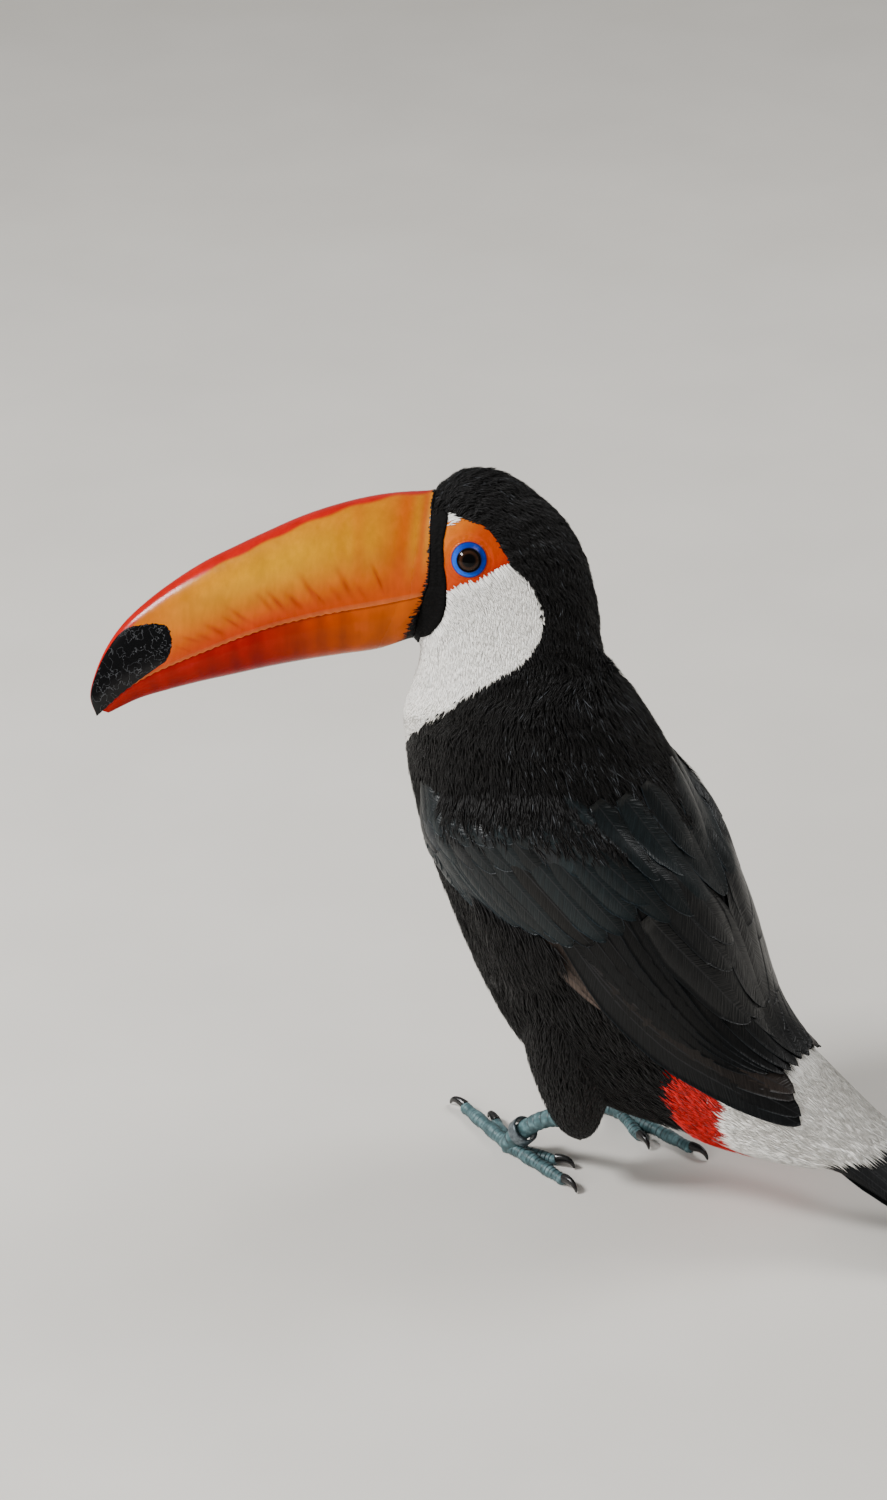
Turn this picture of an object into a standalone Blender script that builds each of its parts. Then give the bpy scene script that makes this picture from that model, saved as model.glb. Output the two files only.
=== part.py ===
"""A toco toucan at life size, squatting on its feet with the tail tip on the floor and the head turned left.

The bird faces -Y, its left side is +X and the floor is Z = 0. Lengths below are millimetres, in a working
frame whose origin lies on the floor between the feet; to_metres() moves that frame to the middle of the model.

The plumage of head, neck, trunk and rump is one loft, a run of egg-shaped sections from the base of the bill to
the base of the tail, and each of those four pieces is a length of it. The wings are shells that follow the same
loft at a small lift, so they lie on the body without touching it.
"""

import bpy
import bmesh
import numpy as np
from math import cos, pi, radians, sin, tau

MM = 0.001
GAP = 0.3  # air between pieces that touch
CENTRE_X, CENTRE_Y = 19.48, 21.93  # middle of the model's box in the working frame

# The head, which is turned to the left and rolled a little to look up.
HEAD_TURN = radians(27)
HEAD_ROLL = radians(18)
HEAD_AT = np.array([0.0, -52.1, 286.5])  # between the eyes, a little under their height
EYE_UP = 2.8
EYE_OUT = 21.3
EYE_RADIUS = 8.0


# The bill: upper ridge, line of the mouth and lower edge, as (forward, up) of the middle of the head.
BILL_RIDGE = [
    (16.4, 30.5), (29.0, 30.2), (44.0, 28.1), (59.4, 24.3), (74.5, 19.2), (89.5, 12.6), (104.0, 5.8), (118.0, -1.2),
    (131.5, -9.8), (143.5, -18.9), (153.6, -28.4), (161.2, -39.0), (166.4, -50.5), (169.0, -61.5), (166.2, -70.6),
]  # fmt: skip
BILL_MOUTH = [
    (22.4, -14.2), (39.3, -17.8), (55.0, -20.6), (70.5, -23.8), (86.0, -27.8), (100.5, -32.8),
    (114.7, -38.6), (128.5, -44.5), (141.5, -50.7), (153.0, -58.0), (163.6, -67.8),
]  # fmt: skip
BILL_KEEL = [
    (25.6, -34.8), (40.7, -39.9), (56.0, -42.2), (72.0, -44.7), (88.5, -47.8), (104.3, -51.3), (120.0, -54.8),
    (134.5, -58.6), (147.5, -62.6), (160.8, -69.0),
]  # fmt: skip
BILL_HALF_WIDTH = [18.6, 18.8, 18.4, 17.6, 16.4, 14.8, 12.8, 10.4, 7.4, 4.2, 0.9]

# Wings as they lie on the body: rows of (section number, degrees round from the back).
WING_LIFT = 1.5
COVERTS_FRONT = [(8.70, 139), (8.02, 131), (8.12, 112), (8.30, 88), (8.60, 60), (9.25, 44), (10.10, 24), (10.60, 3)]
COVERTS_REAR = [(8.90, 136), (9.50, 122), (9.95, 108), (10.35, 96), (10.68, 84), (10.80, 66), (11.00, 42), (11.20, 3)]
FLIGHT_REAR = [(15.25, 57), (15.30, 50), (15.20, 42), (15.00, 33), (14.80, 24), (14.70, 15), (14.65, 9), (14.65, 3)]
FLIGHT_LOW = [(10.68, 83), (11.40, 74), (12.10, 68), (12.90, 62.5), (13.70, 58.5), (14.50, 57), (15.25, 57)]
HAND_LOW = [(10.35, 96), (11.00, 87.5), (11.98, 78), (12.90, 71.5), (13.80, 67), (14.60, 66), (15.20, 62)]
WING_THICK = {"coverts": (7.5, 5.0), "flight": (4.8, 1.2), "hand": (3.0, 1.2)}

# The tail.
TAIL_BASE, TAIL_TIP = (0.0, 146.6, 38.0), (0.0, 238.0, 6.4)
TAIL_HALF_WIDTHS = [21.5, 24.5, 27.0, 29.0, 30.0, 29.5, 26.5, 16.0]
TAIL_ROOF, TAIL_THICK = 3.2, (3.4, 1.2)

# The legs: heel, foot and toe tips on the floor for the left and the right.
LEGS = {
    "left": {
        "thigh": (29.0, 1.5), "heel": (28.5, 16.5, 29.5), "foot": (22.2, -18.8),
        "toes": {"3": (-0.3, -54.3), "2": (5.2, -34.8), "4": (37.7, 17.2), "1": (23.2, 6.7)},
        "claws": {"3": (-2.4, -62.3), "2": (0.7, -40.8), "4": (41.7, 24.7), "1": (23.2, 14.7)},
    },
    "right": {
        "thigh": (-28.0, 8.0), "heel": (-27.0, 49.0, 29.5), "foot": (-29.0, 14.0),
        "toes": {"3": (-41.0, -25.0), "2": (-29.0, -9.0), "4": (-14.5, 58.0), "1": (-12.5, 32.0)},
        "claws": {"3": (-43.5, -33.0), "2": (-28.0, -17.0), "4": (-11.5, 66.5), "1": (-7.5, 38.5)},
    },
}  # fmt: skip
TOE_RADIUS = {"3": (3.9, 3.0), "4": (3.8, 2.9), "2": (3.6, 2.8), "1": (3.3, 2.6)}
PAD_HEIGHT = 4.4
TOE_START = 3.6
CLAW_RADIUS = 2.3
RING_INNER, RING_OUTER, RING_WIDTH = 5.4, 6.7, 5.4
RING_AT = 0.80


def unit(v):
    v = np.asarray(v, float)
    return v / np.linalg.norm(v, axis=-1, keepdims=True)


HEAD_FORWARD = np.array([sin(HEAD_TURN), -cos(HEAD_TURN), 0.0])
HEAD_LEFT = unit([cos(HEAD_TURN) * cos(HEAD_ROLL), sin(HEAD_TURN) * cos(HEAD_ROLL), sin(HEAD_ROLL)])
HEAD_UP = np.cross(HEAD_FORWARD, HEAD_LEFT)
BIRD_LEFT = np.array([1.0, 0.0, 0.0])


def in_head(forward, up, left=0.0):
    """A point given by its distance ahead of, above and to the left of the middle of the head."""
    forward, up, left = (np.asarray(a, float)[..., None] for a in (forward, up, left))
    return HEAD_AT + forward * HEAD_FORWARD + up * HEAD_UP + left * HEAD_LEFT


def curve_through(values, where):
    """A smooth curve through values at 0, 1, 2..., read at the numbers in where (Catmull-Rom)."""
    values = np.asarray(values, float)
    last = len(values) - 1
    where = np.clip(np.asarray(where, float), 0, last)
    i = np.minimum(where.astype(int), last - 1)
    f = (where - i).reshape(where.shape + (1,) * (values.ndim - 1))
    before, a = values[np.maximum(i - 1, 0)], values[i]
    b, after = values[i + 1], values[np.minimum(i + 2, last)]
    slope_a = np.where((i > 0).reshape(f.shape), (b - before) / 2, b - a)
    slope_b = np.where((i < last - 1).reshape(f.shape), (after - a) / 2, b - a)
    return (
        a * (2 * f**3 - 3 * f**2 + 1)
        + b * (3 * f**2 - 2 * f**3)
        + slope_a * (f**3 - 2 * f**2 + f)
        + slope_b * (f**3 - f**2)
    )


def head_section(throat, crown, half_width, square=2.2):
    """A section of the head from its throat point to its crown point, both (forward, up)."""
    low, high = in_head(*throat), in_head(*crown)
    return (low + high) / 2, unit(high - low), HEAD_LEFT, np.linalg.norm(high - low) / 2, half_width, square


def trunk_section(belly, back, half_width, square=2.2, turn=0.0, roll=0.0):
    """A section of neck, trunk or rump from its belly point to its back point, both (x, y, z)."""
    low, high = np.array(belly, float), np.array(back, float)
    turn, roll = radians(turn), radians(roll)
    left = np.array([cos(turn) * cos(roll), sin(turn) * cos(roll), sin(roll)])
    up = unit(high - low)
    left = unit(left - up * (left @ up))
    return (low + high) / 2, up, left, np.linalg.norm(high - low) / 2, half_width, square


SECTIONS = [
    head_section((24.5, -35.0), (15.5, 31.0), 19.5),
    head_section((22.0, -38.5), (3.0, 39.8), 22.5),
    head_section((22.0, -42.5), (-14.0, 39.2), 25.5),
    head_section((22.5, -46.5), (-31.0, 28.5), 27.5),
    head_section((24.0, -51.0), (-47.0, 11.0), 29.0),
    head_section((26.0, -57.5), (-56.0, -14.0), 31.0),
    head_section((29.0, -66.0), (-59.5, -40.0), 34.5),
    trunk_section((10, -76, 203), (-4, 17, 241), 39, turn=12, roll=7),
    trunk_section((1, -75, 179), (0, 29, 226), 44),
    trunk_section((0, -66, 150), (0, 43, 204), 48),
    trunk_section((0, -53, 119), (0, 58, 178), 49),
    trunk_section((0, -38, 88), (0, 71, 151), 49),
    trunk_section((0, -18, 59), (0, 82, 127), 47),
    trunk_section((0, 18, 37), (0, 91, 104), 42),
    trunk_section((0, 62, 31), (0, 103, 84), 36),
    trunk_section((0, 103, 29), (0, 122, 67), 31),
    trunk_section((0, 142, 29), (0, 149, 47), 23),
]
SECTION_CENTRE, SECTION_BACK, SECTION_LEFT, SECTION_DEPTH, SECTION_WIDTH, SECTION_SQUARE = (
    np.array([s[k] for s in SECTIONS]) for k in range(6)
)
HEAD_STEPS = np.linspace(0, 5.0, 13)
NECK_STEPS = np.linspace(5.015, 8.0, 7)
TRUNK_STEPS = np.linspace(8.015, 13.5, 13)
RUMP_STEPS = np.linspace(13.515, 16.0, 6)


def signed_power(x, e):
    return np.sign(x) * np.abs(x) ** e


def body_raw(t, around):
    centre = curve_through(SECTION_CENTRE, t)
    back = unit(curve_through(SECTION_BACK, t))
    left = unit(curve_through(SECTION_LEFT, t))
    depth = curve_through(SECTION_DEPTH, t)[..., None]
    width = curve_through(SECTION_WIDTH, t)[..., None]
    power = (2 / curve_through(SECTION_SQUARE, t))[..., None]
    c, s = np.cos(around)[..., None], np.sin(around)[..., None]
    return centre + back * depth * signed_power(c, power) + left * width * signed_power(s, power)


def body_point(t, around, lift=0.0):
    """The plumage's surface. t counts SECTIONS; around is 0 on the back, a quarter turn on the left side."""
    t, around = np.broadcast_arrays(np.asarray(t, float), np.asarray(around, float))
    at = body_raw(t, around)
    step = 1e-3
    along = body_raw(np.minimum(t + step, len(SECTIONS) - 1), around) - body_raw(np.maximum(t - step, 0), around)
    across = body_raw(t, around + step) - body_raw(t, around - step)
    out = unit(np.cross(across, along))
    return at + out * np.asarray(lift, float)[..., None]


def to_metres(points):
    return (np.asarray(points, float) - np.array([CENTRE_X, CENTRE_Y, 0.0])) * MM


def clear_scene():
    for obj in list(bpy.data.objects):
        bpy.data.objects.remove(obj)


def collection(name):
    made = bpy.data.collections.new(name)
    bpy.context.scene.collection.children.link(made)
    return made


def material(name, colour, roughness, metallic=0.0):
    made = bpy.data.materials.new(name)
    made.use_nodes = True
    shader = made.node_tree.nodes["Principled BSDF"]
    shader.inputs["Base Color"].default_value = (*colour, 1.0)
    shader.inputs["Roughness"].default_value = roughness
    shader.inputs["Metallic"].default_value = metallic
    return made


def solid(name, points, faces):
    """A mesh object with clean corners and its faces turned outwards."""
    mesh = bpy.data.meshes.new(name)
    mesh.from_pydata(to_metres(points).tolist(), [], faces)
    bm = bmesh.new()
    bm.from_mesh(mesh)
    bmesh.ops.remove_doubles(bm, verts=bm.verts, dist=1e-6)
    bmesh.ops.dissolve_degenerate(bm, edges=bm.edges, dist=1e-6)
    bmesh.ops.recalc_face_normals(bm, faces=bm.faces)
    if bm.calc_volume(signed=True) < 0:
        bmesh.ops.reverse_faces(bm, faces=bm.faces)
    bm.to_mesh(mesh)
    bm.free()
    return bpy.data.objects.new(name, mesh)


def loft(name, rings, flat_floor=False):
    """A closed solid through rings of points, all of one length, with a flat end at each end."""
    rings = np.array(rings, float)
    if flat_floor:
        rings[..., 2] = np.maximum(rings[..., 2], 0.0)
    rows, columns = rings.shape[:2]
    grid = np.arange(rows * columns).reshape(rows, columns)
    turned = np.roll(grid, -1, axis=1)
    quads = np.stack([grid[:-1], turned[:-1], turned[1:], grid[1:]], axis=-1).reshape(-1, 4)
    return solid(name, rings.reshape(-1, 3), quads.tolist() + [grid[0].tolist()[::-1], grid[-1].tolist()])


def shell(name, under, over):
    """A closed solid between two grids of points of one shape, joined round their four sides."""
    rows, columns = under.shape[:2]
    order = [(i, 0) for i in range(rows)] + [(rows - 1, j) for j in range(1, columns)]
    order += [(i, columns - 1) for i in range(rows - 2, -1, -1)] + [(0, j) for j in range(columns - 2, 0, -1)]
    low = np.arange(rows * columns).reshape(rows, columns)
    high = low + rows * columns
    faces = []
    for grid in (low, high[:, ::-1]):
        faces += np.stack([grid[:-1, :-1], grid[1:, :-1], grid[1:, 1:], grid[:-1, 1:]], axis=-1).reshape(-1, 4).tolist()
    for here, there in zip(order, order[1:] + order[:1]):
        faces.append([int(high[here]), int(high[there]), int(low[there]), int(low[here])])
    return solid(name, np.concatenate([under.reshape(-1, 3), over.reshape(-1, 3)]), faces)


def tube(name, path, radii, columns=8, inflate=0.0, tall=1.0):
    """A round bar along a path, flattened on the floor. An inflated one is a cutter and runs on under the floor."""
    path, radii = np.asarray(path, float), np.asarray(radii, float) + inflate
    along = unit(np.gradient(path, axis=0))
    side = unit(np.cross(along, np.array([0.0, 0.0, 1.0])))
    up = np.cross(side, along)
    path = path + inflate * along * np.array([-1.0, *[0.0] * (len(path) - 2), 1.0])[:, None]
    around = (np.arange(columns) + 0.5) / columns * tau
    rings = (
        path[:, None]
        + side[:, None] * (radii[:, None] * np.cos(around))[..., None]
        + up[:, None] * (radii[:, None] * np.sin(around))[..., None] * tall
    )
    return loft(name, rings, flat_floor=inflate == 0.0)


def ball(name, centre, radius, columns=12, rows=9, axis=HEAD_LEFT):
    """A sphere with its poles on an axis."""
    axis = unit(axis)
    side = unit(np.cross(axis, np.array([0.0, 0.0, 1.0])))
    up = np.cross(side, axis)
    polar = np.linspace(0.03, pi - 0.03, rows)[:, None, None]
    around = (np.arange(columns) / columns * tau)[None, :, None]
    rings = np.asarray(centre) + radius * (
        axis * np.cos(polar) + np.sin(polar) * (side * np.cos(around) + up * np.sin(around))
    )
    return loft(name, rings)


def cut(obj, cutters, helpers):
    """Take cutters away from an object, and keep the result as plain faces."""
    for cutter in cutters:
        helpers.objects.link(cutter)
        cutter.hide_render = True
        cutter.display_type = "WIRE"
        step = obj.modifiers.new("cut", "BOOLEAN")
        step.operation = "DIFFERENCE"
        step.solver = "EXACT"
        step.object = cutter
    return obj


def body_rings(t, lift=0.0):
    around = np.linspace(0, tau, 30, endpoint=False)
    return body_point(np.asarray(t)[:, None], around[None, :], lift)


def eye_centre(side):
    return in_head(0.2, EYE_UP, side * EYE_OUT)


def make_bill(side_of_mouth):
    """One half of the bill: rings that run over the ridge or under the keel, closed by the line of the mouth."""
    rows, columns = 18, 15
    s = np.linspace(0, 1, rows)
    edge_line = BILL_RIDGE if side_of_mouth > 0 else BILL_KEEL
    ends = []
    for line in (BILL_MOUTH, edge_line):
        line = np.array(line, float)
        run = np.concatenate([[0], np.cumsum(np.linalg.norm(np.diff(line, axis=0), axis=1))])
        ends.append(curve_through(line, np.interp(s * run[-1], run, np.arange(len(line)))))
    mouth, edge = ends
    half_width = curve_through(BILL_HALF_WIDTH, s * (len(BILL_HALF_WIDTH) - 1))
    if side_of_mouth < 0:
        half_width = half_width - 0.6 * (1 - s) - 0.1
    mouth = mouth + side_of_mouth * np.array([0, GAP / 2])
    angle = np.linspace(0, pi, columns)[None, :]
    left = half_width[:, None] * signed_power(np.cos(angle), 0.85)
    rise = np.sin(angle) ** 0.85
    flat = mouth[:, None] + (edge - mouth)[:, None] * rise[..., None]
    return loft("bill_upper" if side_of_mouth > 0 else "bill_lower", in_head(flat[..., 0], flat[..., 1], left))


def straight(start, end, count):
    return np.array(start, float) + (np.array(end, float) - start) * np.linspace(0, 1, count)[:, None]


def panel(name, front, rear, low, high, side, thick, rows, columns):
    """A wing piece on the body inside four edge lines, thickest down its middle and thin at its edges."""
    s, w = np.linspace(0, 1, rows), np.linspace(0, 1, columns)
    front, rear, low, high = (np.array(line, float) for line in (front, rear, low, high))
    ahead, behind = (curve_through(line, w * (len(line) - 1))[None, :] for line in (front, rear))
    under, above = (curve_through(line, s * (len(line) - 1))[:, None] for line in (low, high))
    s, w = s[:, None, None], w[None, :, None]
    corners = (1 - s) * ((1 - w) * front[0] + w * front[-1]) + s * ((1 - w) * rear[0] + w * rear[-1])
    at = (1 - s) * ahead + s * behind + (1 - w) * under + w * above - corners
    t, around = at[..., 0], np.radians(at[..., 1]) * side
    s, w = s[..., 0], w[..., 0]
    start, end = thick
    over = WING_LIFT + (start + (end - start) * s) * np.sin(np.clip(w, 0.05, 0.95) * pi) ** 0.5
    over[0] = np.minimum(over[0], WING_LIFT + 1.2)
    return shell(name, body_point(t, around, WING_LIFT), body_point(t, around, over))


def make_wing(side, name):
    """Coverts, flight feathers (secondaries and tertials) and hand (primaries) of one folded wing."""
    behind_coverts = np.array(COVERTS_REAR, float) + [0.035, 0]
    flight_low = np.array([behind_coverts[4], *FLIGHT_LOW[1:]])
    hand_low = np.array([behind_coverts[3], *HAND_LOW[1:]])
    flight_front, hand_front = behind_coverts[4:], behind_coverts[3:5] + [0, 0.8]
    hand_high = flight_low + [0, 0.8]
    top = straight(COVERTS_FRONT[-1], COVERTS_REAR[-1], 2)
    edge = straight(COVERTS_FRONT[0], COVERTS_REAR[0], 2)
    flight_top = straight(flight_front[-1], FLIGHT_REAR[-1], 2)
    hand_low[0], hand_rear = hand_front[0], straight(hand_low[-1], hand_high[-1], 2)
    return [
        panel(f"wing_coverts_{name}", COVERTS_FRONT, COVERTS_REAR, edge, top, side, WING_THICK["coverts"], 7, 13),
        panel(f"wing_flight_{name}", flight_front, FLIGHT_REAR, flight_low, flight_top, side, WING_THICK["flight"], 11, 8),
        panel(f"wing_hand_{name}", hand_front, hand_rear, hand_low, hand_high, side, WING_THICK["hand"], 11, 4),
    ]


def make_tail():
    """A shallow roof of flight feathers with a rounded end."""
    base, tip = np.array(TAIL_BASE), np.array(TAIL_TIP)
    rows, columns = 10, 9
    s = np.linspace(0, 1, rows)
    half = curve_through(TAIL_HALF_WIDTHS, s * (len(TAIL_HALF_WIDTHS) - 1))
    across = np.linspace(-1, 1, columns)
    run = unit(tip - base)
    up = np.cross(BIRD_LEFT, run) * -1
    up = up if up[2] > 0 else -up
    thick = np.interp(s, [0, 1], TAIL_THICK)[:, None]
    edge = np.sqrt(np.clip(1 - across**2, 0.12, 1))[None, :]
    middle = (
        (base + (tip - base) * s[:, None])[:, None]
        + BIRD_LEFT * (half[:, None] * across)[..., None]
        - up * (TAIL_ROOF * across**2)[None, :, None]
    )
    lift = (thick / 2 * edge)[..., None] * up
    return shell("tail", middle - lift, middle + lift)


def thigh_rings(leg, inflate=0.0):
    """The feathered thigh, an egg that leans back and ends over the heel."""
    x, y = LEGS[leg]["thigh"]
    stations = [
        (13, 94, 21, 17), (13.5, 79, 23, 18.5), (14.5, 65, 22, 18.5), (15.5, 53, 19, 17), (16, 43, 15.5, 14.5),
        (16.5, 35, 12, 11.5), (17.5, 29, 8.5, 8), (18.5, 25.0, 4.0, 4.0),
    ]  # fmt: skip
    around = np.linspace(0, tau, 16, endpoint=False)[None, :]
    dy, z, deep, wide = (np.array(v, float)[:, None] for v in zip(*stations))
    return np.stack(
        [
            x + (wide + inflate) * np.cos(around),
            y + dy + (deep + inflate) * np.sin(around),
            z - inflate * (np.arange(len(stations))[:, None] == len(stations) - 1) + 0 * around,
        ],
        axis=-1,
    )


def leg_line(leg, s):
    """The middle of the bare leg from the heel (0) to the foot (1): it leaves the heel level and dips to the foot."""
    heel = np.array(LEGS[leg]["heel"], float)
    foot = np.array([*LEGS[leg]["foot"], PAD_HEIGHT], float)
    s = np.asarray(s, float)
    line = heel + (foot - heel) * s[..., None]
    line[..., 2] = heel[2] + (foot[2] - heel[2]) * np.clip(s, 0, 1.04) ** 2
    return line


def tarsus(leg, inflate=0.0):
    """The bare leg from under the thigh down to the foot, where it swells into the pad the toes grow from."""
    s = np.array([0.0, 0.2, 0.42, 0.62, 0.78, 0.9, 0.98, 1.05, 1.1])
    radii = np.array([4.4, 4.1, 3.9, 3.8, 3.9, 4.3, 4.6, 4.0, 2.2])
    return tube(f"tarsus_{leg}", leg_line(leg, s), radii, columns=10, inflate=inflate)


def toe(leg, digit, inflate=0.0):
    """A toe on the floor with a swelling at each joint."""
    foot = np.array([*LEGS[leg]["foot"], 0.0], float)
    tip = np.array([*LEGS[leg]["toes"][digit], 0.0], float)
    start, end = TOE_RADIUS[digit]
    joints = {"1": 1.5, "2": 2.0, "3": 3.0, "4": 3.0}[digit]
    s = np.linspace(0, 1, 9)
    radii = (start + (end - start) * s) * (1 + 0.10 * np.cos(tau * joints * s) * (s > 0.05))
    radii[-1] *= 0.72
    root = foot + unit(tip - foot) * TOE_START
    path = root + (tip - root) * s[:, None]
    path[:, 2] = 0.86 * (start + (end - start) * s)
    return tube(f"toe_{leg}_{digit}", path, radii, inflate=inflate)


def claw(leg, digit, inflate=0.0):
    """A hooked claw that rises from the toe and comes down to a point at the floor."""
    tip = np.array([*LEGS[leg]["toes"][digit], 0.0], float)
    point = np.array([*LEGS[leg]["claws"][digit], 0.0], float)
    s = np.linspace(0, 1, 7)
    path = tip + (point - tip) * (0.04 + 0.96 * np.sin(s * pi / 2) ** 1.05)[:, None]
    path[:, 2] = 3.4 + 1.3 * np.sin(pi * np.clip(s * 1.1, 0, 1)) - 2.9 * s**2
    radii = CLAW_RADIUS * (1 - s) ** 0.8 + 0.32
    return tube(f"claw_{leg}_{digit}", path, radii, inflate=inflate, tall=1.15)


def leg_ring():
    """A plain loose band round the left leg just above the foot."""
    centre = leg_line("left", RING_AT)
    along = unit(leg_line("left", RING_AT + 0.05) - leg_line("left", RING_AT - 0.05))
    side = unit(np.cross(along, np.array([0.0, 0.0, 1.0])))
    up = np.cross(side, along)
    around = np.linspace(0, tau, 20, endpoint=False)[:, None, None]
    radius = np.array([RING_INNER, RING_OUTER, RING_OUTER, RING_INNER])[None, :, None]
    across = np.array([-0.5, -0.5, 0.5, 0.5])[None, :, None] * RING_WIDTH
    rings = centre + radius * (side * np.cos(around) + up * np.sin(around)) + along * across
    grid = np.arange(80).reshape(20, 4)
    onward = np.roll(grid, -1, axis=0)
    faces = np.stack([grid, np.roll(grid, -1, axis=1), np.roll(onward, -1, axis=1), onward], axis=-1)
    return solid("leg_ring", rings.reshape(-1, 3), faces.reshape(-1, 4).tolist())


def finish(obj, home, paint):
    """Put a finished part in its collection with its material, smooth where it is round."""
    home.objects.link(obj)
    obj.data.materials.clear()
    obj.data.materials.append(paint)
    for face in obj.data.polygons:
        face.use_smooth = True
    return obj


def main():
    clear_scene()
    bird, helpers = collection("toco_toucan"), collection("cutters")
    helpers.hide_render = True

    feathers_black = material("black_plumage", (0.012, 0.011, 0.011), 0.62)
    feathers_white = material("white_plumage", (0.82, 0.82, 0.80), 0.72)
    feathers_wing = material("wing_plumage", (0.014, 0.020, 0.024), 0.46)
    bill_orange = material("orange_bill", (0.95, 0.24, 0.01), 0.28)
    bill_red = material("red_bill", (0.78, 0.06, 0.008), 0.28)
    bare_leg = material("scaled_leg", (0.24, 0.36, 0.42), 0.52)
    horn = material("claw_horn", (0.010, 0.010, 0.012), 0.25)
    eyeball = material("eyeball", (0.045, 0.018, 0.008), 0.08)
    band = material("leg_band", (0.22, 0.24, 0.26), 0.55)

    head = loft("head", body_rings(HEAD_STEPS))
    cut(head, [ball(f"socket_{k}", eye_centre(k), EYE_RADIUS + GAP) for k in (1, -1)], helpers)
    finish(head, bird, feathers_black)
    for side, name in ((1, "left"), (-1, "right")):
        finish(ball(f"eye_{name}", eye_centre(side), EYE_RADIUS), bird, eyeball)

    finish(make_bill(1), bird, bill_orange)
    finish(make_bill(-1), bird, bill_red)
    finish(loft("neck", body_rings(NECK_STEPS)), bird, feathers_white)
    finish(loft("trunk", body_rings(TRUNK_STEPS)), bird, feathers_black)
    finish(loft("rump", body_rings(RUMP_STEPS)), bird, feathers_white)
    finish(make_tail(), bird, feathers_black)

    for side, name in ((1, "left"), (-1, "right")):
        for piece in make_wing(side, name):
            finish(piece, bird, feathers_wing)

    for leg in LEGS:
        trunk_room = loft(f"trunk_room_{leg}", body_rings(np.append(TRUNK_STEPS, RUMP_STEPS), lift=1.5 * GAP))
        thigh = loft(f"thigh_{leg}", thigh_rings(leg))
        finish(cut(thigh, [trunk_room], helpers), bird, feathers_black)
        thigh_room = loft(f"thigh_room_{leg}", thigh_rings(leg, inflate=GAP))
        finish(cut(tarsus(leg), [thigh_room], helpers), bird, bare_leg)
        for digit, before in (("3", ()), ("4", ()), ("2", ("3",)), ("1", ("4",))):
            room = [tarsus(leg, GAP)] + [toe(leg, other, GAP) for other in before]
            room += [toe(leg, "3", GAP)] if digit == "4" else []
            finish(cut(toe(leg, digit), room, helpers), bird, bare_leg)
            finish(cut(claw(leg, digit), [toe(leg, digit, GAP)], helpers), bird, horn)
    finish(leg_ring(), bird, band)


if __name__ == "__main__":
    main()
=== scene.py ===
"""A toco toucan at life size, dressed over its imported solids: skin, bare face, eyes, bill, feathers and feet.

Lengths are millimetres in a working frame whose origin lies on the floor between the feet; the bird faces -Y
and its left side is +X. put_mesh() moves that frame to the middle of the model and turns it into metres.
"""

from math import cos, pi, radians, sin, tau

import bpy
import numpy as np
from bpy.props import FloatProperty, FloatVectorProperty, PointerProperty
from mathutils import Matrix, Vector


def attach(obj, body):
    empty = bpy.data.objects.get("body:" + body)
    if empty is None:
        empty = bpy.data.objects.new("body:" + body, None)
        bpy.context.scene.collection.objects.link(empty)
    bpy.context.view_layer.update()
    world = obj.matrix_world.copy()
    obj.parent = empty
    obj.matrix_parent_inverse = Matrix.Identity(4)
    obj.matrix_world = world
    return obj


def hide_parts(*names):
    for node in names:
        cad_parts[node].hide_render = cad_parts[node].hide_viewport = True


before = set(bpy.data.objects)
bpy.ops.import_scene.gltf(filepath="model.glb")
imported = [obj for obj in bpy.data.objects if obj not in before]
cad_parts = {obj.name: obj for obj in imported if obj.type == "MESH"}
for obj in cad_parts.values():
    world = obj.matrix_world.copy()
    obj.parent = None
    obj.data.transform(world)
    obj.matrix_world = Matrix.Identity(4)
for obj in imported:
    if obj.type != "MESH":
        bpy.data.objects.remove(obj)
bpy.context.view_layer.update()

bl_info = {
    "name": "Toco toucan",
    "version": (1, 0, 0),
    "blender": (4, 5, 0),
    "location": "3D View > Sidebar > Toucan",
    "description": "Builds the skin, bill, eyes, feathers and feet of a life-size toco toucan",
    "category": "Add Mesh",
}

MM = 0.001
CENTRE_X, CENTRE_Y = 19.48, 21.93  # middle of the model's box in the working frame
SEED = 27
TUFTS_IN_A_PIECE = 12000  # keeps a coat piece under 200,000 triangles
THIGH_TUFTS = 6400
HEAD_END, SECTION_LENGTH = 7.6, 27  # where the head's short feathers end, and mm from one section to the next
OFBAKE_PATCH = 0.003  # how wide one feather is on the map the colours are baked to
SIDES = {"left": 1, "right": -1}
SIDEWAYS, UPWARDS = np.array([1.0, 0.0, 0.0]), np.array([0.0, 0.0, 1.0])


# ---------------------------------------------------------------- shape of the body, as in the solids


def unit(v):
    v = np.asarray(v, float)
    return v / np.maximum(np.linalg.norm(v, axis=-1, keepdims=True), 1e-12)


def to_row(points):
    """Millimetres in the working frame as metres round the middle of the model."""
    return (np.asarray(points, float) - [CENTRE_X, CENTRE_Y, 0.0]) * MM


def smooth_step(x):
    x = np.clip(x, 0, 1)
    return x * x * (3 - 2 * x)


def signed_power(x, e):
    return np.sign(x) * np.abs(x) ** e


def all_round(count):
    """Even angles all the way round."""
    return np.linspace(0, tau, count, endpoint=False)


def every(first, second):
    """Each of the first with each of the second, as two grids."""
    return np.meshgrid(first, second, indexing="ij")


def bell(x, middle, width):
    """A bell curve: 1 at the middle, and a third of that one width away."""
    return np.exp(-(((x - middle) / width) ** 2))


def from_back(around):
    """Degrees round from the back, the same on both sides."""
    return np.abs((np.degrees(around) + 180) % 360 - 180)


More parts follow.
